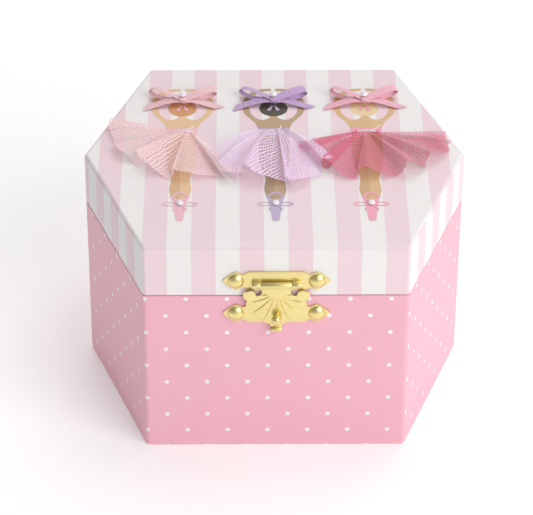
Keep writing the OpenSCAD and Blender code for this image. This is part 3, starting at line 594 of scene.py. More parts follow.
@dataclass(frozen=True)
class DottedPaper(Paper):
    """Paper printed with small dots on two interlocked square grids."""

    dot: Colour = (0.95, 0.90, 0.91)
    radius: float = 0.86
    half_pitch: Point = (7.5, 7.55)
    start: Point = (-3.0, 52.6)

    def ground(self, n: Nodes, place: bpy.types.NodeSocket) -> bpy.types.NodeSocket:
        """Dots where either grid's nearest point is close."""
        parts = n.add("SeparateXYZ", Vector=self.place(n, cloth=True))
        near = [
            n.math("PINGPONG", n.math("SUBTRACT", parts.outputs[axis], self.start[k]),
            self.half_pitch[k])
            for k, axis in enumerate("XY")
        ]
        far = [n.math("SUBTRACT", self.half_pitch[k], near[k]) for k in range(2)]
        gaps = [
            n.math("SQRT", n.math("ADD", n.math("MULTIPLY", a, a), n.math("MULTIPLY", b, b))) for a,
            b in (near, far)
        ]
        mask = n.step(n.math("MINIMUM", *gaps), self.radius - 0.14, self.radius + 0.14, (1, 0))
        return n.mix(mask, self.colour, self.dot)


@dataclass(frozen=True)
class Board(Finish):
    """Grey-brown case board with visible fibres."""

    def build(self, n: Nodes, shader: bpy.types.Node) -> None:
        """Fibres and flecks."""
        fibres = self.effect(n, SharedEffect.FIBRES, self.place(n), Scale=0.6)
        n.put(shader.inputs["Base Color"], n.mix(fibres.outputs["Mottle"], self.colour, (0.25, 0.19,
            0.14)))
        self.bump(n, shader, fibres.outputs["Height"], 0.15)


@dataclass(frozen=True)
class Pile(Finish):
    """Flock, plush or velvet: a soft nap with a pale sheen at grazing angles."""

    scale: float = 1.0
    depth: float = 0.2
    sheen: float = 0.6

    def build(self, n: Nodes, shader: bpy.types.Node) -> None:
        """Nap patches, tufts and sheen."""
        pile = self.effect(n, SharedEffect.PILE, self.place(n), Scale=self.scale)
        darker = tuple(c * 0.88 for c in self.colour)
        lift = n.step(pile.outputs["Nap"], 0.3, 0.7)
        base = n.mix(lift, darker, self.colour)
        n.put(shader.inputs["Base Color"], n.mix(n.math("MULTIPLY", pile.outputs["Height"], 0.25),
            base, darker))
        n.put(shader.inputs["Sheen Weight"], self.sheen)
        n.put(shader.inputs["Sheen Roughness"], 0.4)
        n.put(shader.inputs["Sheen Tint"], (1.0, 0.9, 0.93))
        n.put(shader.inputs["Specular IOR Level"], 0.15)
        self.bump(n, shader, pile.outputs["Height"], self.depth)


@dataclass(frozen=True)
class Metal(Finish):
    """Polished or brushed metal with handling marks."""

    scale: float = 1.0
    tarnish: Colour = (0.35, 0.22, 0.06)
    age: float = 0.15

    def build(self, n: Nodes, shader: bpy.types.Node) -> None:
        """Tarnish in patches, and fine lines in the gloss."""
        lines = self.effect(n, SharedEffect.BRUSHED, self.place(n), Scale=self.scale)
        worn = n.math("MULTIPLY", n.step(lines.outputs["Smudge"], 0.45, 0.75), self.age)
        n.put(shader.inputs["Base Color"], n.mix(worn, self.colour, self.tarnish))
        n.put(shader.inputs["Metallic"], 1.0)
        rough = n.math("ADD", n.math("MULTIPLY", lines.outputs["Lines"], 0.10),
            self.roughness - 0.05)
        n.put(shader.inputs["Roughness"], n.math("ADD", rough, n.math("MULTIPLY", worn, 0.5)))
        self.bump(n, shader, lines.outputs["Lines"], 0.012)


@dataclass(frozen=True)
class Glass(Finish):
    """Silvered mirror glass with a faint haze."""

    def build(self, n: Nodes, shader: bpy.types.Node) -> None:
        """Almost perfect reflection with smudges."""
        lines = self.effect(n, SharedEffect.BRUSHED, self.place(n), Scale=0.3)
        n.put(shader.inputs["Metallic"], 1.0)
        n.put(shader.inputs["Roughness"], n.step(lines.outputs["Smudge"], 0.35, 0.8, (0.015, 0.07)))


@dataclass(frozen=True)
class Satin(Finish):
    """Satin-covered strip with a cross weave."""

    def build(self, n: Nodes, shader: bpy.types.Node) -> None:
        """Fine ribs with painted shade in the hollows between them, sheen and a soft gloss."""
        ribs = self.effect(n, SharedEffect.RIBS, self.place(n), Pitch=0.4)
        # Painted shade: the hollows between the ribs are painted darker than the satin's colour.
        n.put(shader.inputs["Base Color"], n.mix(ribs.outputs["Shade"],
            tuple(c * 0.8 for c in self.colour), self.colour))
        n.put(shader.inputs["Sheen Weight"], 0.4)
        self.bump(n, shader, ribs.outputs["Height"], 0.04)


@dataclass(frozen=True)
class Netting(Finish):
    """Soft diamond netting: threads with holes between them, read from the cloth map."""

    pitch: float = 1.0
    width: float = 0.36
    thread: float = 0.86
    hole: float = 0.08

    def build(self, n: Nodes, shader: bpy.types.Node) -> None:
        """Two families of slanting threads, thicker at their knots."""
        cloth = self.place(n, cloth=True)
        wander = n.add("TexNoise", Vector=cloth, Scale=0.35, Detail=2.0)
        parts = n.add("SeparateXYZ", Vector=cloth)
        drift = n.math("MULTIPLY", n.math("SUBTRACT", wander.outputs["Fac"], 0.5), 1.6)
        x = n.math("ADD", parts.outputs["X"], drift)
        y = n.math("MULTIPLY", parts.outputs["Y"], 0.62)
        lines = [n.math("PINGPONG", n.math(how, x, y), self.pitch / 2) for how in ("ADD",
            "SUBTRACT")]
        gap = n.math("MINIMUM", *lines)
        edge = self.pitch * self.width / 2
        mask = n.step(gap, edge - 0.07, edge + 0.07, (1, 0))
        n.put(shader.inputs["Alpha"], n.math("ADD", n.math("MULTIPLY", mask,
            self.thread - self.hole), self.hole))
        pale = tuple(min(1.0, c * 1.08 + 0.02) for c in self.colour)
        n.put(shader.inputs["Base Color"], n.mix(wander.outputs["Fac"], self.colour, pale))
        n.put(shader.inputs["Sheen Weight"], 0.3)
        n.put(shader.inputs["Specular IOR Level"], 0.25)


@dataclass(frozen=True)
class Ribbon(Finish):
    """Ribbed ribbon, read from the cloth map: X along the ribbon, Y across it."""

    # How dark the painted shade in the hollows between the ribs is, as a share of the colour.
    groove: float = 0.82

    def build(self, n: Nodes, shader: bpy.types.Node) -> None:
        """Ribs across the ribbon."""
        ribs = self.effect(n, SharedEffect.RIBS, self.place(n, cloth=True), Pitch=0.78)
        # Painted shade: the hollows between the ribs get a darker copy of the ribbon's colour.
        dark = tuple(c * self.groove for c in self.colour)
        n.put(shader.inputs["Base Color"], n.mix(ribs.outputs["Shade"], dark, self.colour))
        n.put(shader.inputs["Sheen Weight"], 0.35)
        n.put(shader.inputs["Sheen Roughness"], 0.35)
        self.bump(n, shader, ribs.outputs["Height"], 0.10)


@dataclass(frozen=True)
class Print(Finish):
    """Flat printed ink on paper, with the paper's fibres showing."""

    def build(self, n: Nodes, shader: bpy.types.Node) -> None:
        """Slightly uneven ink over fibres."""
        fibres = self.effect(n, SharedEffect.FIBRES, self.place(n))
        darker = tuple(c * 0.86 for c in self.colour)
        n.put(shader.inputs["Base Color"], n.mix(n.math("MULTIPLY", fibres.outputs["Mottle"], 0.3),
            self.colour, darker))
        n.put(shader.inputs["Coat Weight"], 0.2)
        n.put(shader.inputs["Coat Roughness"], 0.35)
        self.bump(n, shader, fibres.outputs["Height"], 0.03)


@dataclass(frozen=True)
class Moulded(Finish):
    """Moulded and painted plastic with faint flow marks."""

    soft: float = 0.0

    def build(self, n: Nodes, shader: bpy.types.Node) -> None:
        """Flow marks and an even gloss."""
        fibres = self.effect(n, SharedEffect.FIBRES, self.place(n), Scale=0.7)
        darker = tuple(c * 0.88 for c in self.colour)
        n.put(shader.inputs["Base Color"], n.mix(n.math("MULTIPLY", fibres.outputs["Mottle"], 0.35),
            self.colour, darker))
        n.put(shader.inputs["Subsurface Weight"], self.soft)
        n.put(shader.inputs["Subsurface Scale"], 0.001)
        n.put(shader.inputs["Roughness"], n.step(fibres.outputs["Mottle"], 0.3, 0.7,
            (self.roughness - 0.06, self.roughness + 0.06)))
        self.bump(n, shader, fibres.outputs["Wave"], 0.3, 0.4)


@dataclass(frozen=True)
class Stone(Finish):
    """Foil-backed cut stone: bright facets and facets painted dark, with a clear coat."""

    def build(self, n: Nodes, shader: bpy.types.Node) -> None:
        """Some facets are painted near-black, picked by each facet's own normal: a painted reflection of dark
        surroundings.
        """
        facet = n.add("NewGeometry").outputs["True Normal"]
        spots = n.add("TexNoise", Vector=facet, Scale=3.4, Detail=0.0)
        # Painted reflection: the near-black facets stand in for dark surroundings reflected in the cut stone.
        n.put(shader.inputs["Base Color"], n.mix(n.step(spots.outputs["Fac"], 0.50, 0.56), (0.05,
            0.05, 0.055), self.colour))
        n.put(shader.inputs["Metallic"], 1.0)
        n.put(shader.inputs["Coat Weight"], 0.6)
        n.put(shader.inputs["Coat Roughness"], 0.03)


class Finishes:
    """Every finish on the box, by its maker's name."""

    striped = StripedPaper("striped_lid_paper", (0.89, 0.87, 0.86), 0.5)
    dotted = DottedPaper("dotted_base_paper", (0.90, 0.46, 0.565), 0.48)
    plain = Paper("plain_backing_paper", (0.86, 0.84, 0.82), 0.6)
    board = Board("case_board", (0.52, 0.42, 0.32), 0.85)
    plush = Pile("pink_flock_lining", (0.86, 0.52, 0.60), 0.85, 1.0, 0.12, 0.5)
    velvet = Pile("rose_velvet", (0.80, 0.34, 0.46), 0.8, 0.8, 0.2, 0.8)
    brass = Metal("gilt_brass", (0.93, 0.74, 0.32), 0.19, 1.0, (0.55, 0.36, 0.10), 0.25)
    zinc = Metal("cast_zinc", (0.55, 0.55, 0.56), 0.42, 0.6, (0.33, 0.33, 0.34), 0.4)
    steel = Metal("bright_steel", (0.62, 0.62, 0.64), 0.26, 1.0, (0.36, 0.35, 0.34), 0.2)
    spring = Metal("spring_steel", (0.45, 0.46, 0.49), 0.24, 1.0, (0.25, 0.24, 0.24), 0.2)
    nickel = Metal("nickel_plate", (0.72, 0.70, 0.66), 0.2, 1.0, (0.45, 0.41, 0.35), 0.2)
    movement = Metal("movement_brass", (0.82, 0.62, 0.28), 0.3, 1.0, (0.42, 0.28, 0.1), 0.3)
    mirror = Glass("silvered_mirror", (0.93, 0.94, 0.94), 0.02)
    satin = Satin("pink_satin", (0.90, 0.55, 0.64), 0.45)
    thread = Moulded("white_thread", (0.90, 0.88, 0.86), 0.7)
    stone = Stone("cut_stone", (0.74, 0.75, 0.77), 0.06)
    white = Moulded("white_moulding", (0.86, 0.85, 0.83), 0.35)
    skin = Moulded("painted_skin", (0.80, 0.55, 0.42), 0.42, 0.05)
    hair = Moulded("painted_hair", (0.12, 0.06, 0.035), 0.45)
    leotard = Moulded("painted_leotard", (0.90, 0.55, 0.64), 0.35)
    eyes = Moulded("painted_eyes", (0.045, 0.03, 0.025), 0.25)
    lips = Moulded("painted_lips", (0.70, 0.25, 0.27), 0.4)
    dancer_netting = Netting("dancer_netting", (0.92, 0.70, 0.74), 0.7, 0.9)


# ---- The camera, the floor and the light ----


@dataclass
class Studio:
    """A camera above the front of the box, a pale floor and soft light."""

    lens: float = 182.3
    camera_at: tuple[float, float, float] = (-0.0136, -0.8630, 0.6382)
    pitch: float = 34.636
    yaw: float = -0.686
    roll: float = 0.223
    shift: Point = (0.002, 0.002)
    floor: float = 3.0

    def set_up(self) -> None:
        """Build the camera, then the floor and the lights."""
        data = bpy.data.cameras.new("camera")
        camera = bpy.data.objects.new("camera", data)
        bpy.context.collection.objects.link(camera)
        data.lens, data.sensor_width = self.lens, 36
        data.shift_x, data.shift_y = self.shift
        data.clip_start, data.clip_end = 0.05, 20
        turn = Matrix.Rotation(math.radians(self.yaw), 4,
            "Z") @ Matrix.Rotation(math.radians(90 - self.pitch), 4, "X")
        camera.matrix_world = Matrix.Translation(self.camera_at) @ turn @ Matrix.Rotation(math.radians(self.roll), 4, "Z")
        bpy.context.scene.camera = camera
        bpy.context.scene.view_settings.view_transform = "Standard"
        self._floor()
        self._sky()
        self._lamp("key", (0.55, -0.62, 0.62), 0.75, 5.2)
        self._lamp("top", (0.1, 0.45, 1.0), 0.9, 5.1)

    def _floor(self) -> None:
        """A plain pale floor."""
        bpy.ops.mesh.primitive_plane_add(size=self.floor, location=(0, 0.6, 0))
        floor = named("floor")
        material = bpy.data.materials.new("pale_floor")
        material.use_nodes = True
        shader = material.node_tree.nodes["Principled BSDF"]
        shader.inputs["Base Color"].default_value = (0.96, 0.96, 0.96, 1)
        shader.inputs["Roughness"].default_value = 0.9
        shader.inputs["Emission Color"].default_value = (1, 1, 1, 1)
        shader.inputs["Emission Strength"].default_value = 0.22
        floor.data.materials.append(material)
        settle(floor)

    @staticmethod
    def _sky() -> None:
        """White surroundings that grow darker overhead, so polished metal has something to show."""
        world = bpy.data.worlds.new("studio")
        bpy.context.scene.world = world
        world.use_nodes = True
        n = Nodes(world.node_tree)
        way = n.add("SeparateXYZ", Vector=n.add("TexCoord").outputs["Generated"]).outputs
        shade = n.math("MULTIPLY", n.step(way["Z"], 0.15, 0.9, (0.55, 0.30)),
            n.step(way["X"], -0.9, 0.1, (0.62, 1.0)))
        n.put(world.node_tree.nodes["Background"].inputs["Color"], (1.0, 0.985, 0.975))
        n.put(world.node_tree.nodes["Background"].inputs["Strength"], shade)

    @staticmethod
    def _lamp(name: str, place: tuple[float, float, float], size: float, power: float) -> None:
        """A square soft light that faces the box.

        Args:
            name: The lamp's name.
            place: Where it stands, in metres.
            size: Its side, in metres.
            power: Its power, in watts.
        """
        data = bpy.data.lights.new(name, "AREA")
        data.shape, data.size, data.energy = "SQUARE", size, power
        lamp = bpy.data.objects.new(name, data)
        bpy.context.collection.objects.link(lamp)
        lamp.location = place
        lamp.rotation_euler = (Vector((0, 0, 0.05)) - Vector(place)).to_track_quat("-Z",
            "Y").to_euler()


# ---- Fitting a finished piece to the frame ----


@dataclass
class Maker:
    """What each sub-assembly needs: the frame, and the way to hand over a finished piece."""

    frame: dict

    def slot_of(self, node: str) -> str:
        """The record's material slot of a node."""
        return next(p["material_slot"] for p in self.frame["record"]["subparts"] if p["node"] == node)

    def hand_over(
        self, obj: bpy.types.Object, stands_for: Sequence[str] | str, finish: Finish | None = None,
        slot: str | None = None
    ) -> bpy.types.Object:
        """Settle a piece, dress it, and let it ride where the nodes that it stands for ride.

        Args:
            obj: The finished mesh.
            stands_for: The nodes that it replaces, or the name of one node whose body it shares, with a +.
            finish: Its finish. None keeps the materials that it has.
            slot: The record's material slot, where it isn't the node's own. Not used.

        Returns:
            The same object.
        """
        nodes = [stands_for] if isinstance(stands_for, str) else list(stands_for)
        extra = nodes[0].startswith("+")
        first = nodes[0].lstrip("+")
        settle(obj)
        if finish:
            obj.data.materials.clear()
            obj.data.materials.append(finish.material())
        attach(obj, self.frame["nodes"][first]["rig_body"])
        if not extra:
            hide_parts(*nodes)
        LOG.info("%s: %d faces", obj.name, len(obj.data.polygons))
        return obj

    def dress(self, finish: Finish, *nodes: str) -> None:
        """Give nodes of the frame a finish and leave their shape alone."""
        for node in nodes:
            obj = self.frame["nodes"][node]
            obj.data.materials.clear()
            obj.data.materials.append(finish.material())

    def copy_of(self, node: str, edge: float = 0.12, angle: float = 40,
            name: str | None = None) -> bpy.types.Object:
        """A copy of a node with merged faces, rounded edges and smooth curves.

        Args:
            node: The node of the frame.
            edge: The radius of its rounded edges, in millimetres. 0 leaves them sharp.
            angle: Edges sharper than this are rounded, in degrees.
            name: The new piece's name.

        Returns:
            The copy, not handed over yet.
        """
        copy = bpy.data.objects.new(name or node + "_finished",
            self.frame["nodes"][node].data.copy())
        copy.data.name = copy.name
        bpy.context.collection.objects.link(copy)
        with editing(copy):
            bpy.ops.mesh.select_all(action="SELECT")
            bpy.ops.mesh.remove_doubles(threshold=2e-6)
            bpy.ops.mesh.customdata_custom_splitnormals_clear()
            bpy.ops.mesh.dissolve_limited(angle_limit=math.radians(0.5))
        if edge:
            modify(
                copy, "BEVEL", width=edge * MM, segments=2, limit_method="ANGLE",
                angle_limit=math.radians(angle),
                use_clamp_overlap=True, harden_normals=False,
            )
        smooth(copy, angle - 5)
        return copy

    def refined(self, finish: Finish, edge: float, *nodes: str) -> list[bpy.types.Object]:
        """Rounded copies of nodes, each standing for its node.

        Args:
            finish: Their finish.
            edge: The radius of their rounded edges, in millimetres.
            nodes: The nodes.

        Returns:
            The new pieces.
        """
        return [self.hand_over(self.copy_of(node, edge), node, finish) for node in nodes]


# ---- The case: base, lid and their printed paper ----


@dataclass
class Case(Maker):
    """The hexagonal case, its printed paper and its board."""

    front_w: float = 97
    overall_w: float = 144
    depth: float = 126
    base_h: float = 69
    lid_z: float = 69.3
    top_z: float = 90.3
    corner_r: float = 2.0
    lid_edge_r: float = 1.5
    paper_t: float = 0.3
    cover: float = 2.8
    turn_in: float = 7.0
    turn_under: float = 8.0
    corner_steps: int = 6

    @property
    def tilt(self) -> float:
        """How far a side wall leans from the depth axis, in radians."""
        return math.atan((self.overall_w - self.front_w) / self.depth)

    def corners(self, inset: float) -> list[Point]:
        """The six corners with every wall moved in.

        Args:
            inset: How far each wall is moved in, in millimetres.

        Returns:
            Corners from the front right, round by the right and back to the front left.
        """
        side = self.overall_w / 2 - inset / math.cos(self.tilt)
        y = self.depth / 2 - inset
        x = side - y * math.tan(self.tilt)
        return [(x, -y), (side, 0), (x, y), (-x, y), (-side, 0), (-x, -y)]

    def outline(self, inset: float) -> list[Point]:
        """The case's outline with rounded upright corners, in millimetres.

        Args:
            inset: How far the outline is moved in.

        Returns:
            Points from the front right corner, anticlockwise seen from above, with a point in the
            middle of the back for the paper's join.
        """
        lean = math.degrees(self.tilt)
        faces = [-90, -lean, lean, 90, 180 - lean, 180 + lean, 270]
        radius = max(self.corner_r - inset, 0.05)
        centres = self.corners(max(self.corner_r, inset + 0.05))
        points: list[Point] = []
        for k in range(6):
            for step in range(self.corner_steps + 1):
                a = math.radians(faces[k] + (faces[k + 1] - faces[k]) * step / self.corner_steps)
                points.append((centres[k][0] + radius * math.cos(a),
                    centres[k][1] + radius * math.sin(a)))
            if k == 2:
                points.append((0.0, points[-1][1]))
        return points

    def ring(self, inset: float, z: float) -> Loop:
        """One level loop of the case's outline, in metres."""
        return [(x * MM, y * MM, z * MM) for x, y in self.outline(inset)]

    def lay_paper(self, obj: bpy.types.Object, insets: Iterable[float]) -> None:
        """Map the paper: level faces by place, walls by the way round, so the print runs unbroken.

        Args:
            obj: The wrap, whose loops all come from outline().
            insets: The insets of those loops.
        """
        outside = self.outline(0)
        lengths = [outside[0][0]]
        for a, b in zip(outside, outside[1:]):
            lengths.append(lengths[-1] + math.dist(a, b))
        total = lengths[-1] + math.dist(outside[-1], outside[0]) - outside[0][0]
        around: dict[tuple[int, int], float] = {}
        for inset in insets:
            for (x, y), length in zip(self.outline(inset), lengths):
                around[(round(x * 200),
                    round(y * 200))] = length if length <= total / 2 else length - total
        layer = obj.data.uv_layers[0]
        layer.name = "cloth"
        for polygon in obj.data.polygons:
            spots = [obj.data.vertices[obj.data.loops[k].vertex_index].co / MM for k in polygon.loop_indices]
            if abs(polygon.normal.z) > 0.75:
                values = [spot.x for spot in spots]
            else:
                values = [around.get((round(s.x * 200), round(s.y * 200)), s.x) for s in spots]
                if max(values) - min(values) > total / 2:
                    values = [value - total if value > 0 else value for value in values]
            for k, spot, value in zip(polygon.loop_indices, spots, values):
                layer.data[k].uv = (value, spot.y if abs(polygon.normal.z) > 0.75 else spot.z)

    def wrap(self, name: str, profile: Sequence[Point], capped: bool) -> bpy.types.Object:
        """Paper wrapped over a profile that is swept round the case.

        Args:
            name: The new piece's name.
            profile: Pairs of inset and height, in millimetres, on the outside of the paper.
            capped: Whether the last loop is filled in.

        Returns:
            The wrap as a closed shell.
        """
        obj = loft(name, [self.ring(inset, z) for inset, z in profile], caps=(False, capped))
        self.lay_paper(obj, {inset for inset, _ in profile})
        modify(obj, "SOLIDIFY", thickness=self.paper_t * 0.8 * MM, offset=-1, use_even_offset=True)
        smooth(obj, 50)
        modify(obj, "WEIGHTED_NORMAL", keep_sharp=True, mode="FACE_AREA_WITH_ANGLE")
        return obj

    @staticmethod
    def rounded(inset: float, z: float, radius: float, start: float, end: float,
            steps: int = 5) -> list[Point]:
        """Points of a rounded edge in the inset and height plane, in millimetres.

        Args:
            inset: The inset of the rounding's centre.
            z: The height of its centre.
            radius: Its radius.
            start: Its first angle in degrees, where 0 faces outwards and 90 faces up.
            end: Its last angle.
            steps: How many pieces it is cut into.

        Returns:
            Pairs of inset and height.
        """
        out = []
        for k in range(steps + 1):
            a = math.radians(start + (end - start) * k / steps)
            out.append((inset - radius * math.cos(a), z + radius * math.sin(a)))
        return out

    def build(self) -> None:
        """The two wraps, and the finishes of the boards and papers that stay as drawn."""
        edge = 0.45
        base = [
            (self.turn_under, 0.02),
            *self.rounded(edge, edge + 0.02, edge, -90, 0, 3),
            *self.rounded(edge, self.base_h - edge, edge, 0, 90, 3),
            *self.rounded(self.cover + self.paper_t - edge, self.base_h - edge, edge, 90, 180, 3),
            (self.cover + self.paper_t, self.base_h - self.turn_in),
        ]
        self.hand_over(self.wrap("base_printed_paper", base, False), "base_wrap", Finishes.dotted)
        lid = [
            (self.cover + self.paper_t, self.lid_z + self.paper_t),
            *self.rounded(edge, self.lid_z + edge, edge, -90, 0, 3),
            *self.rounded(self.lid_edge_r, self.top_z - self.lid_edge_r, self.lid_edge_r, 0, 90, 6),
        ]
        self.hand_over(self.wrap("lid_printed_paper", lid, True), "lid_wrap", Finishes.striped)
        self.dress(Finishes.board, "base_walls", "base_floor", "lid_top_board", "lid_wall_boards")
        self.dress(Finishes.plain, "base_bottom_paper")


# ---- The clasp and the hinges ----


@dataclass
class Clasp(Maker):
    """The stamped brass toggle clasp."""

    hasp_top: float = 75.2
    hasp_front: float = 64.6
    fan_from: float = 3.2
    flutes: int = 9

    def flute_cutters(self) -> bpy.types.Object:
        """Slim round bars that fan down from under the hasp's roll, as one cutter."""
        cutters = []
        focus = Vector((0, 0, self.hasp_top - self.fan_from))
        for k in range(self.flutes):
            share = k / (self.flutes - 1) * 2 - 1
            angle = math.radians(share * 66)
            length = 15.2 - 7.8 * abs(share) ** 1.4
            start = 2.6 + 1.0 * abs(share)
            bend = 3.0 * share
            path = []
            for step in range(7):
                t = step / 6
                d = start + (length - start) * t
                a = angle + math.radians(bend * t * 6)
                depth = self.hasp_front + 0.16 - 0.22 * math.sin(math.pi * t) ** 0.5
                path.append(Vector((focus.x + d * math.sin(a), -depth,
                    focus.z - d * math.cos(a))) * MM)
            cutters.append(tube(f"flute_{k}", path, 0.30 * MM, 8))
        return join("flute_cutter", cutters)

    def build(self) -> None:
        """Plates, nails, pin, hasp and knob."""
        brass = Finishes.brass
        self.refined(brass, 0.2, "catch_plate", "clasp_lid_plate")
        self.refined(brass, 0.1, "catch_nails", "lid_plate_nails", "clasp_pin", "clasp_knob")
        hasp = self.copy_of("clasp_hasp", 0.16)
        cutter = self.flute_cutters()
        modify(hasp, "BOOLEAN", object=cutter, operation="DIFFERENCE", solver="EXACT",
            use_self=True)
        bpy.data.objects.remove(cutter)
        smooth(hasp, 35)
        self.hand_over(hasp, "clasp_hasp", brass)


@dataclass
class Hinges(Maker):
    """The two back hinges."""

    def build(self) -> None:
        """Leaves, nails and pins."""
        self.refined(Finishes.brass, 0.12, "hinge_base_leaves", "hinge_lid_leaves")
        self.refined(Finishes.brass, 0.08, "hinge_base_nails", "hinge_lid_nails", "hinge_pins")


# ---- The trim on the lid: printed dancers, netting skirts, stitches, bows and stones ----


class Side(Enum):
    """The two sides of a bow."""

    LEFT = -1
    RIGHT = 1


@dataclass(frozen=True)
class Style:
    """One dancer on the lid: its place, its inks, and the cut of its skirt."""

    name: str
    x: float
    skin: Colour
    shaded_skin: Colour
    hair: Colour
    ink: Colour
    netting: Netting
    ribbon: Ribbon
    fan: tuple[Point, Point, Point]
    folds: int
    lift: Point
    flat: Point
    area: float
    seed: int


STYLES = (
    Style(
        "left", -35.3, (0.81, 0.55, 0.32), (0.70, 0.45, 0.25), (0.69, 0.32, 0.13),
        (0.89, 0.51, 0.60),
        Netting("blush_netting", (1.0, 0.71, 0.73), 0.7),
        Ribbon("blush_ribbon", (0.96, 0.62, 0.67), 0.5),
        ((157, 29.5), (272, 31.5), (312, 38)), 5, (0.4, 0.6), (0.128, 0.032), 0.0019, 3,
    ),
    Style(
        "middle", 0.0, (0.52, 0.355, 0.21), (0.44, 0.30, 0.17), (0.067, 0.055, 0.037),
        (0.55, 0.44, 0.625),
        Netting("lilac_netting", (0.93, 0.72, 0.97), 0.7),
        Ribbon("lilac_ribbon", (0.62, 0.42, 0.70), 0.5),
        ((209, 27), (266, 36), (316, 31)), 4, (3.4, 3.4), (0.106, 0.034), 0.0017, 11,
    ),
    Style(
        "right", 35.3, (0.73, 0.48, 0.25), (0.64, 0.41, 0.21), (0.84, 0.65, 0.36),
        (0.91, 0.39, 0.50),
        Netting("rose_netting", (0.74, 0.17, 0.28), 0.7),
        Ribbon("rose_ribbon", (0.97, 0.52, 0.63), 0.5),
        ((196, 27.5), (259, 31), (358, 31.4)), 6, (0.6, 0.4), (0.140, 0.032), 0.0021, 23,
    ),
)


@dataclass
class Trim(Maker):
    """Everything printed on, stitched to and glued to the lid."""

    top: float = 90.3
    waist_y: float = 13.0
    bow_y: float = 37.0
    shoe_y: float = -34.5
    ink_t: float = 0.015

    def inlay(self, style: Style, level: int, ink: Finish, left: Sequence[Point],
            right: Sequence[Point]) -> bpy.types.Object:
        """A flat patch of ink between two edges.

        Args:
            style: The dancer that it belongs to.
            level: How many layers of ink it lies on.
            ink: Its finish.
            left: One edge, as points beside the dancer's middle line, in millimetres.
            right: The other edge, with as many points.

        Returns:
            The patch.
        """
        z = (self.top + 0.02 + self.ink_t * level) * MM
        loops = [[((style.x + x) * MM, y * MM, z) for x, y in edge] for edge in (left, right)]
        obj = loft("ink", loops, closed=False)
        modify(obj, "SOLIDIFY", thickness=self.ink_t * MM, offset=0)
        obj.data.materials.append(ink.material())
        return obj

    @staticmethod
    def stroke(path: Sequence[Point], width: float, taper: float = 1.0) -> tuple[list[Point],
            list[Point]]:
        """The two edges of a line of some width along a path.

        Args:
            path: The line's middle.
            width: Its width at the start.
            taper: The share of that width left at the end.

        Returns:
            The left edge and the right edge.
        """
        left, right = [], []
        for k, (x, y) in enumerate(path):
            a, b = path[max(k - 1, 0)], path[min(k + 1, len(path) - 1)]
            if path[0] == path[-1] and k in (0, len(path) - 1):
                a, b = path[-2], path[1]
            along = Vector((b[0] - a[0], b[1] - a[1])).normalized()
            half = width / 2 * (1 + (taper - 1) * k / (len(path) - 1))
            left.append((x - along.y * half, y + along.x * half))
            right.append((x + along.y * half, y - along.x * half))
        return left, right

    @staticmethod
    def ellipse(x: float, y: float, half_w: float, half_h: float, steps: int = 24) -> list[Point]:
        """Points round an ellipse, the last on the first."""
        turns = [math.tau * k / steps for k in range(steps)]
        points = [(x + half_w * math.cos(a), y + half_h * math.sin(a)) for a in turns]
        return [*points, points[0]]

    def printed(self, style: Style) -> None:
        """The printed dancer, seen from behind: arms in a ring, bodice, legs and shoes."""
        skin = Print(f"{style.name}_print_skin", style.skin, 0.5)
        shade = Print(f"{style.name}_print_shade", style.shaded_skin, 0.5)
        hair = Print(f"{style.name}_print_hair", style.hair, 0.5)
        ink = Print(f"{style.name}_print_dress", style.ink, 0.5)
        outer = flowing([(0.7, 47.5), (5.4, 46.9), (9.7, 43.6), (11.8, 38.2), (12.1, 33),
            (11.1, 28.4), (8.9, 24.7), (7.1, 21.9)])
        inner = flowing([(0.9, 45.7), (4.4, 45.0), (7.4, 42.2), (9.2, 37.6), (9.4, 33), (8.5, 28.2),
            (5.6, 24.5), (2.3, 24.6)])
        parts = []
        for sign in (-1, 1):
            parts.append(self.inlay(style, 0, skin,
                *([(sign * x, y) for x, y in edge] for edge in (outer, inner))))
        body = flowing([(1.5, 29), (1.45, 26.6), (2.4, 25.0), (5.2, 23.6), (7.0, 21.9), (6.6, 20),
            (6.1, 18), (5.6, 13)])
        parts.append(self.inlay(style, 1, skin, [(-x, y) for x, y in body], body))
        bodice = [(6.15, 18.1), (5.95, 16.5), (5.7, 13.4)]
        parts.append(self.inlay(style, 2, ink, [(-x, y) for x, y in bodice], bodice))
        leg = flowing([(5.6, 13), (5.9, 2), (5.1, -9.8), (3.9, -15.4), (3.5, -18.3), (4.1, -24.4),
            (3.5, -29), (2.35, -34), (1.9, -38)])
        parts.append(self.inlay(style, 1, skin, leg, [(-0.12, y) for _, y in leg]))
        parts.append(self.inlay(style, 1, shade, [(-x, y) for x, y in leg],
            [(-0.12, y) for _, y in leg]))
        head = self.ellipse(0, 32.6, 5.55, 5.8)
        parts.append(self.inlay(style, 2, hair, head[:13], head[:11:-1]))
        for sign in (-1, 1):
            level = 5 if sign < 0 else 9
            for k, (path, width, taper) in enumerate((
                ([(0, -26.5), (sign * 1.8, -28.4), (sign * 3.3, -30.0)], 1.0, 1.1),
                ([(sign * 3.0, -30.2), (sign * 1.6, -31.8), (0, -33.2)], 1.0, 1.3),
                ([(sign * 0.35, 34.8), (sign * 1.1, 32.9), (sign * 1.9, 30.9)], 0.5, 3.0),
                ([(sign * 0.6, -35.2), (sign * 1.7, -37.0), (sign * 2.6, -38.9)], 1.4, 0.25),
            )):
                parts.append(self.inlay(style, level + k, ink, *self.stroke(path, width, taper)))
            loop = self.ellipse(sign * 3.75, -34.7, 2.6, 1.1)
            parts.append(self.inlay(style, level + 2, ink, *self.stroke(loop, 0.42)))
        shoe = flowing([(2.9, -31.4), (2.5, -34), (2.15, -37), (1.75, -41), (1.35, -45),
            (0.7, -45.9)])
        parts.append(self.inlay(style, 4, ink, [(-x, y) for x, y in shoe], shoe))
        figure = join(f"printed_dancer_{style.name}", parts)
        self.hand_over(figure, "+lid_wrap")

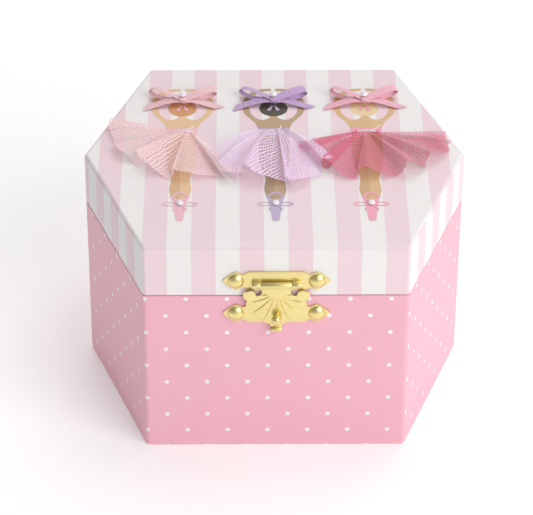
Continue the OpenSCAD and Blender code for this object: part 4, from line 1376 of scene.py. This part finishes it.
    def netting_point(self, style: Style, a: float, t: float,
            phases: Sequence[float]) -> tuple[float, float, float]:
        """One point of a skirt: pleats that lie over one another and open towards the hem.

        Args:
            style: The dancer that wears it.
            a: The share of the cloth's width, from the left edge.
            t: The share of its length below the waist, and a little below 0 for the ruffle above.
            phases: Random phases for this skirt.

        Returns:
            The point, in millimetres.
        """
        turn = math.tau * style.folds * a
        swell = 1.2 + 0.35 * math.sin(math.tau * 1.3 * a + phases[0])
        share = (turn + swell * math.sin(turn + phases[1]) + 0.5 * math.sin(math.tau * 2.3 * a + phases[2])) / (
            math.tau * style.folds
        )
        (a0, r0), (am, rm), (a1, r1) = style.fan
        angle = math.radians(a0 + (a1 - a0) * share)
        m = (am - a0) / (a1 - a0)
        radius = (
            r0 * (share - m) * (share - 1) / m + rm * share * (share - 1) / (m * (m - 1)) + r1 * share * (share - m) / (1 - m)
        )
        radius *= 1 + 0.025 * math.sin(2.0 * turn + phases[3]) + 0.035 * math.sin(0.63 * turn + phases[0])
        edge = max(0.0, math.sin(math.pi * min(max(a, 0.0), 1.0))) ** 0.6
        waist_x = 4.2 * (2 * share - 1)
        rise = (1 - math.sin(turn + phases[1])) / 2
        if t < 0:
            up = -t / 0.07
            return (
                style.x + waist_x * (1 + 0.25 * up),
                self.waist_y + up * (0.7 + 0.6 * math.sin(1.7 * turn + phases[2])),
                self.top + 0.7 + 0.9 * rise + 0.5 * up,
            )
        tall = 0.5 + (1.2 + 5.2 * (0.35 + 0.65 * edge)) * t**0.8 * (0.8 + 0.25 * math.sin(math.tau * 1.9 * a + phases[0]))
        sag = 0.45 * (1 - t) ** 2
        lift = (style.lift[0] * (1 - a) + style.lift[1] * a) * math.sin(math.pi * min(1.0,
            0.15 + t * 0.8))
        ripple = 0.35 * t * math.sin(4.3 * turn + phases[3])
        return (
            style.x + waist_x * (1 - t) + radius * math.cos(angle) * t,
            self.waist_y + radius * math.sin(angle) * t,
            self.top + 0.25 + sag + tall * rise + lift + ripple * rise + 0.12,
        )

    def skirt(self, style: Style) -> None:
        """The netting skirt, gathered at the waist."""
        across, along = 190, 30
        maker = random.Random(style.seed)
        phases = [maker.uniform(0, math.tau) for _ in range(4)]
        phases[1] = maker.uniform(-0.6, 0.6)
        rows = []
        for j in range(along + 1):
            t = -0.07 + 1.07 * j / along
            rows.append([tuple(c * MM for c in self.netting_point(style, i / across, t,
                phases)) for i in range(across + 1)])
        obj = loft(f"netting_skirt_{style.name}", rows, closed=False)
        reach = style.flat[1] / MM
        map_fan(obj, reach, 2 * style.area / MM**2 / reach**2, 1.5)
        smooth(obj, 180)
        self.hand_over(obj, f"tutu_{style.name}", style.netting)

    def stitches(self) -> None:
        """The white thread that holds each skirt at its waist, with a loose end."""
        parts = []
        for style, swing in zip(STYLES, (0.6, -0.5, 0.9)):
            x, y, z = style.x, self.waist_y, self.top
            parts.append(tube("stitch", [
                Vector(p) * MM for p in (
                    (x - 5.2, y + 1.4, z + 0.25), (x - 4.6, y + 0.6, z + 1.2),
                    (x - 2.6, y - 0.2, z + 1.95), (x, y + 0.1, z + 2.15),
                    (x + 2.6, y - 0.2, z + 2.0), (x + 4.5, y + 0.5, z + 1.3),
                    (x + 5.1, y + 1.3, z + 0.3))
            ], 0.26 * MM))
            parts.append(tube("loose_end", [
                Vector(p) * MM for p in (
                    (x + 1.6, y - 0.1, z + 2.2), (x + 2.6 + swing, y + 0.5, z + 2.6),
                    (x + 3.4 + swing, y + 1.3, z + 3.0),
                    (x + 3.6 + 2 * swing, y + 2.1, z + 3.3))
            ], 0.2 * MM))
        self.hand_over(join("waist_stitches", parts), "waist_threads", Finishes.thread)

    @staticmethod
    def ribbon(name: str, path: Sequence[Vector], face: Sequence[Vector], width: float,
            cut: float = 0.0) -> bpy.types.Object:
        """A strip of ribbon along a path.

        Args:
            name: The new object's name.
            path: The middle of the ribbon, in millimetres.
            face: Which way its width runs at each point of the path.
            width: Its width.
            cut: How far the last point of one edge runs past the middle, for a slanted end.

        Returns:
            The strip, mapped with X along it and Y across it, in millimetres.
        """
        lines = []
        last = len(path) - 1
        for share in (-1.0, -0.5, 0.0, 0.5, 1.0):
            line = []
            for k, (spot, side) in enumerate(zip(path, face)):
                along = (path[min(k + 1, last)] - path[max(k - 1, 0)]).normalized()
                side = (side - along * side.dot(along)).normalized()
                slant = max(0.0, (k / last - 0.6) / 0.4) * cut * share
                line.append(tuple((spot + side * share * width / 2 + along * slant) * MM))
            lines.append(line)
        length = sum((b - a).length for a, b in zip(path, path[1:]))
        obj = loft(name, lines, closed=False)
        map_cloth(obj, length, width)
        modify(obj, "SOLIDIFY", thickness=0.22 * MM, offset=0)
        return obj

    def bow(self, style: Style) -> None:
        """A ribbon bow: two flattened loops, two slanted tails and a knot."""
        maker = random.Random(style.seed + 1)
        knot = Vector((style.x, self.bow_y - 1.2, self.top + 1.9))
        parts = []
        for side in Side:
            sign = side.value
            out = Vector((sign * 12.7, 5.4 + maker.uniform(-0.5, 0.5), 1.5))
            up = Vector((-sign * 0.10, -0.5 if side is Side.RIGHT else 0.22, 1.0)).normalized()
            wide = out.cross(up).normalized()
            tall = 3.6 if side is Side.RIGHT else 2.7
            shape = [(0.0, 0.0), (0.25, -0.22), (0.6, -0.5), (0.88, -0.46), (1.0, -0.05),
                (0.9, 0.45), (0.6, 0.5), (0.25, 0.3), (0.0, 0.12)]
            path = [knot + out * u + up * v * tall for u, v in flowing(shape, 5)]
            lean = [wide] * len(path)
            parts.append(self.ribbon("loop", path, lean, 3.2))
            reach = 14.9 + maker.uniform(-0.5, 0.5)
            drop = [(0.0, 0.0, 0.3), (0.25, -0.3, 0.4), (0.5, -0.9, -0.2), (0.75, -1.9, -1.0),
                (1.0, -3.0 - 0.8 * maker.random(), -1.35)]
            tail = [knot + Vector((sign * u * reach, y, z)) for u, y, z in flowing(drop, 5)]
            face = [Vector((sign * 0.25, 1, 0.28 * (1 - k / len(tail)))) for k in range(len(tail))]
            parts.append(self.ribbon("tail", tail, face, 3.2, sign * 1.6))
        rings = []
        for k in range(7):
            x = -1.3 + 2.6 * k / 6
            fat = 1 - 0.28 * (abs(x) / 1.3) ** 2
            rings.append([
                ((knot.x + x) * MM, (knot.y + 1.9 * fat * math.cos(a)) * MM,
                (knot.z + 0.35 + 1.25 * fat * math.sin(a)) * MM)
                for a in (math.tau * i / 16 for i in range(16))
            ])
        middle = loft("knot", rings, caps=(True, True))
        map_cloth(middle, 9, 2.6)
        parts.append(middle)
        bow = join(f"ribbon_bow_{style.name}", parts)
        smooth(bow, 50)
        self.hand_over(bow, f"bow_{style.name}", style.ribbon)

    def stones(self) -> None:
        """Round cut stones with a table, two rows of facets and a girdle."""
        parts = []
        for style in STYLES:
            for y, z, turn in ((self.bow_y - 0.3, self.top + 3.7, 0.2),
                (self.shoe_y, self.top + 0.25, 0.5)):
                rings = []
                for radius, height, shift in ((1.25, 0.0, 0), (1.42, 0.22, 0), (1.42, 0.34, 0),
                    (1.12, 0.8, 0.5), (0.68, 1.12, 0)):
                    rings.append([
                        (
                            (style.x + radius * math.cos(math.tau * (k + shift) / 10 + turn)) * MM,
                            (y + radius * math.sin(math.tau * (k + shift) / 10 + turn)) * MM,
                            (z + height) * MM,
                        )
                        for k in range(10)
                    ])
                stone = loft("stone", rings, caps=(True, True))
                modify(stone, "TRIANGULATE")
                alone(stone)
                bpy.ops.object.shade_flat()
                parts.append(stone)
        self.hand_over(join("cut_stones", parts), "gems", Finishes.stone)

    def build(self) -> None:
        """Each dancer's print, skirt and bow, then the stitches and the stones."""
        for style in STYLES:
            self.printed(style)
        for style in STYLES:
            self.skirt(style)
            self.bow(style)
        self.stitches()
        self.stones()


# ---- Inside the case ----


@dataclass
class Interior(Maker):
    """Linings, tray, ring holder, deck and mirror."""

    def build(self) -> None:
        """Soft-edged covered boards, padded rolls and pad, mirror and its satin frame."""
        self.dress(Finishes.plush, "base_lining", "lid_lining")
        self.refined(Finishes.plush, 0.5, "partition", "dividers", "deck", "ring_block")
        pad, rolls = (self.hand_over(self.copy_of(node, edge), node, finish) for node, edge,
            finish in (
            ("tray_pad", 0.7, Finishes.plush), ("ring_rolls", 0.9, Finishes.velvet)))
        self.dress(Finishes.mirror, "mirror")
        self.refined(Finishes.satin, 0.22, "mirror_frame")


# ---- The wind-up movement and its key ----


@dataclass
class Movement(Maker):
    """The clockwork that plays and turns the dancer."""

    def build(self) -> None:
        """Every part of the train, the comb, the stop wire and the key."""
        self.refined(Finishes.zinc, 0.3, "movement_bedplate")
        self.refined(Finishes.steel, 0.06, "comb", "cylinder_bearings", "governor_frame",
            "cylinder_arbor", "winding_arbor")
        self.refined(Finishes.steel, 0.08, "mounting_screws", "movement_screws")
        self.refined(Finishes.movement, 0.07, "mainspring_barrel", "cylinder_gears",
            "governor_wheel", "governor_fan")
        self.dress(Finishes.movement, "music_cylinder")
        self.dress(Finishes.spring, "mainspring", "trip_spring")
        self.refined(Finishes.steel, 0.05, "trip_wire")
        self.refined(Finishes.nickel, 0.35, "winding_key")
        self.refined(Finishes.brass, 0.15, "key_escutcheon")


# ---- The turning dancer ----


@dataclass
class TurningDancer(Maker):
    """The moulded dancer on a spring, on a turntable."""

    height: float = 40
    spring_l: float = 9.5
    collar_l: float = 3.0

    @property
    def lean(self) -> dict:
        """The joint that lets the dancer lean forward under the closed lid."""
        return next(j for j in self.frame["record"]["behaviour"]["joints"] if j["name"] == "dancer_lean")

    def stand(self, obj: bpy.types.Object) -> bpy.types.Object:
        """Move a piece from the dancer's own upright axes to its leaning place."""
        pivot = Vector(self.lean["pos_m"])
        tip = Matrix.Rotation(math.radians(self.lean["range_deg"][1]), 4, "X")
        raise_up = Matrix.Translation((0, 0, (self.spring_l / 2 + self.collar_l) * MM))
        obj.matrix_world = Matrix.Translation(pivot) @ tip @ raise_up
        return settle(obj)

    @staticmethod
    def stack(name: str, finish: Finish, sections: Sequence[tuple[float, ...]],
            sides: int = 20) -> bpy.types.Object:
        """A limb or trunk skinned over oval sections.

        Args:
            name: The new object's name.
            finish: Its finish.
            sections: For each its height, half-width, half-depth, and its middle's x and y, in millimetres.
            sides: Points round each section.

        Returns:
            The closed mesh.
        """
        rings = []
        for z, rx, ry, cx, cy in flowing([(*s, 0.0, 0.0)[:5] for s in sections], 4):
            rings.append([
                ((cx + rx * math.cos(a)) * MM, (cy + ry * math.sin(a)) * MM, z * MM)
                for a in (math.tau * k / sides for k in range(sides))
            ])
        obj = loft(name, rings, caps=(True, True))
        obj.data.materials.append(finish.material())
        return obj

    @staticmethod
    def ball(name: str, finish: Finish, centre: Sequence[float],
            radii: Sequence[float]) -> bpy.types.Object:
        """An oval ball, with its centre and radii in millimetres."""
        bpy.ops.mesh.primitive_uv_sphere_add(segments=24, ring_count=16, radius=1,
            location=[c * MM for c in centre])
        obj = named(name)
        obj.scale = [r * MM for r in radii]
        obj.data.materials.append(finish.material())
        return settle(obj)

    @staticmethod
    def limb(name: str, finish: Finish, path: Sequence[Sequence[float]],
            radii: Sequence[float]) -> bpy.types.Object:
        """A tapering limb along a path, in millimetres."""
        obj = tube(name, [Vector(p) * MM for p in path], MM, 12, radii)
        obj.data.materials.append(finish.material())
        return obj

    def face(self) -> list[bpy.types.Object]:
        """A calm, evenly proportioned face: brow, closed-lipped mouth, nose, eyes and ears."""
        skin, dark, lip = Finishes.skin, Finishes.eyes, Finishes.lips
        h = 0.88 * self.height
        parts = [
            self.ball("head", skin, (0, -0.05, h), (1.72, 1.9, 2.3)),
            self.ball("jaw", skin, (0, -0.55, h - 1.15), (1.05, 1.15, 1.05)),
            self.ball("nose", skin, (0, -1.93, h - 0.3), (0.2, 0.28, 0.42)),
            self.ball("nose_tip", skin, (0, -2.08, h - 0.58), (0.22, 0.2, 0.17)),
            self.ball("mouth", lip, (0, -1.70, h - 1.12), (0.42, 0.16, 0.13)),
        ]
        for sign in (-1, 1):
            parts.append(self.ball("ear", skin, (sign * 1.7, 0.15, h - 0.25), (0.2, 0.38, 0.5)))
            parts.append(self.ball("eye_white", Finishes.white, (sign * 0.66, -1.66, h + 0.05),
                (0.34, 0.17, 0.18)))
            parts.append(self.ball("iris", dark, (sign * 0.66, -1.78, h + 0.05),
                (0.14, 0.09, 0.15)))
            brow = [(sign * 0.32, -1.80, h + 0.50), (sign * 0.7, -1.74, h + 0.60),
                (sign * 1.08, -1.55, h + 0.48)]
            parts.append(self.limb("brow", Finishes.hair, brow, (0.05, 0.07, 0.03)))
            lid = [(sign * 0.34, -1.76, h + 0.13), (sign * 0.66, -1.82, h + 0.25),
                (sign * 1.0, -1.62, h + 0.11)]
            parts.append(self.limb("lid", dark, lid, (0.03, 0.05, 0.03)))
        return parts

    def figure(self) -> None:
        """The whole dancer: on point, arms raised in a ring."""
        h = self.height
        skin, dress = Finishes.skin, Finishes.leotard
        parts = self.face()
        parts.append(self.ball("hair", Finishes.hair, (0, 0.5, 0.893 * h), (1.86, 1.85, 2.12)))
        parts.append(self.ball("bun", Finishes.hair, (0, 1.95, 0.915 * h), (1.2, 1.05, 1.15)))
        parts.append(self.limb("bun_ribbon", dress, [
            (1.25 * math.cos(a), 1.45 + 0.3 * math.sin(2 * a), 0.915 * h + 1.2 * math.sin(a))
            for a in (math.tau * k / 12 for k in range(13))], [0.16] * 13))
        parts.append(self.stack("trunk", skin, [
            (26.5, 2.1, 1.5, 0, -0.1), (28.4, 2.5, 1.5, 0, 0), (29.5, 2.3, 1.15, 0, 0.05),
            (30.2, 1.1, 0.9, 0, 0.1),
            (31.2, 0.78, 0.8, 0, 0.1), (34.2, 0.75, 0.8, 0, 0.0)]))
        parts.append(self.stack("bodice", dress, [
            (19.6, 1.2, 1.2, 0, 0), (20.6, 2.5, 1.9, 0, 0.05), (21.8, 2.75, 1.95, 0, 0.1),
            (24.0, 1.78, 1.35, 0, 0),
            (26.2, 2.25, 1.65, 0, -0.2), (27.6, 2.5, 1.85, 0, -0.3), (28.35, 2.45, 1.62, 0, -0.12)],
            28))
        for sign in (-1, 1):
            parts.append(self.limb("strap", dress, [
                (sign * 1.5, -1.62, 27.9), (sign * 1.65, -1.25, 29.2), (sign * 1.7, 0.0, 29.75),
                (sign * 1.5, 1.2, 28.9),
                (sign * 1.3, 1.5, 27.8)], [0.16] * 5))
            parts.append(self.stack("leg", skin, [
                (1.2, 0.5, 0.5, sign * 0.5, -0.05), (3.2, 0.66, 0.72, sign * 0.62, 0),
                (8.5, 1.15, 1.35, sign * 0.85, 0.28),
                (12.6, 0.95, 1.05, sign * 0.9, 0.05), (17.5, 1.42, 1.5, sign * 1.15, 0),
                (21.0, 1.6, 1.7, sign * 1.25, 0)]))
            parts.append(self.stack("shoe", dress, [
                (0.32, 0.34, 0.4, sign * 0.42, -0.1), (0.75, 0.5, 0.56, sign * 0.45, -0.1),
                (2.0, 0.72, 0.85, sign * 0.55, -0.12),
                (3.1, 0.76, 0.84, sign * 0.6, 0.0), (3.5, 0.62, 0.7, sign * 0.62, 0.0)]))
            for z in (4.1, 5.0):
                parts.append(self.limb("shoe_ribbon", dress, [
                    (sign * 0.64 + 0.82 * math.cos(a), 0.05 + 0.88 * math.sin(a),
                    z + 0.25 * math.sin(a + sign))
                    for a in (math.tau * k / 12 for k in range(13))], [0.09] * 13))
            arm = [(sign * 1.9, 0.05, 29.1), (sign * 3.6, 0, 29.8), (sign * 5.4, -0.5, 31.8),
                (sign * 6.3, -1.1, 34.9),
                   (sign * 5.4, -1.3, 37.4), (sign * 3.2, -1.1, 39.0), (sign * 1.5, -0.9, 39.45)]
            parts.append(self.limb("arm", skin, arm, (0.98, 0.92, 0.8, 0.66, 0.56, 0.42, 0.36)))
            parts.append(self.ball("hand", skin, (sign * 1.15, -0.9, 39.4), (0.72, 0.3, 0.42)))
            for k in range(4):
                parts.append(self.limb("finger", skin, [
                    (sign * 0.9, -1.1 + 0.18 * k, 39.45), (sign * 0.45, -1.15 + 0.18 * k, 39.5),
                    (sign * 0.15, -1.1 + 0.18 * k, 39.3)],
                    (0.13, 0.12, 0.08)))
        parts.append(self.stack("peg", Finishes.steel,
            [(-2.0, 0.75, 0.75), (-0.6, 0.78, 0.78), (0.4, 0.78, 0.78)], 16))
        figure = join("turning_dancer", parts)
        smooth(figure, 60)
        self.hand_over(self.stand(figure), "dancer_figure")

    def skirt(self) -> None:
        """The dancer's round skirt: one ruffled circle of netting."""
        rows = []
        for j in range(17):
            t = j / 16
            row = []
            for k in range(160):
                a = math.tau * k / 160
                wave = math.sin(13 * a) + 0.4 * math.sin(5 * a + 1.3)
                radius = 1.9 + 10.4 * t * (1 + 0.02 * math.sin(7 * a))
                z = 0.6 * self.height + 0.35 - 2.0 * t * t + 0.75 * t * wave
                row.append((radius * math.cos(a) * MM, radius * math.sin(a) * MM, z * MM))
            rows.append(row)
        obj = loft("dancer_skirt", rows)
        map_fan(obj, 12.9, math.tau, 1.9)
        smooth(obj, 180)
        self.hand_over(self.stand(obj), "dancer_tutu", Finishes.dancer_netting)

    def build(self) -> None:
        """Turntable, spring, collar, figure and skirt."""
        self.refined(Finishes.white, 0.25, "turntable")
        self.refined(Finishes.brass, 0.2, "dancer_collar")
        self.figure()
        self.skirt()
        spring = self.copy_of("dancer_spring", 0, 40)
        settle(spring)
        spring.data.materials.clear()
        spring.data.materials.append(Finishes.spring.material())
        self.slot_of("dancer_spring")
        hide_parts("dancer_spring")
        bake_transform(spring)


def main() -> None:
    """Build the scene: studio, frame, then each sub-assembly."""
    logging.basicConfig(level=logging.INFO, format="%(message)s")
    Studio().set_up()
    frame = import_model()
    for maker in (Case, Clasp, Hinges, Trim, Interior, Movement, TurningDancer):
        maker(frame).build()


if __name__ == "__main__":
    main()
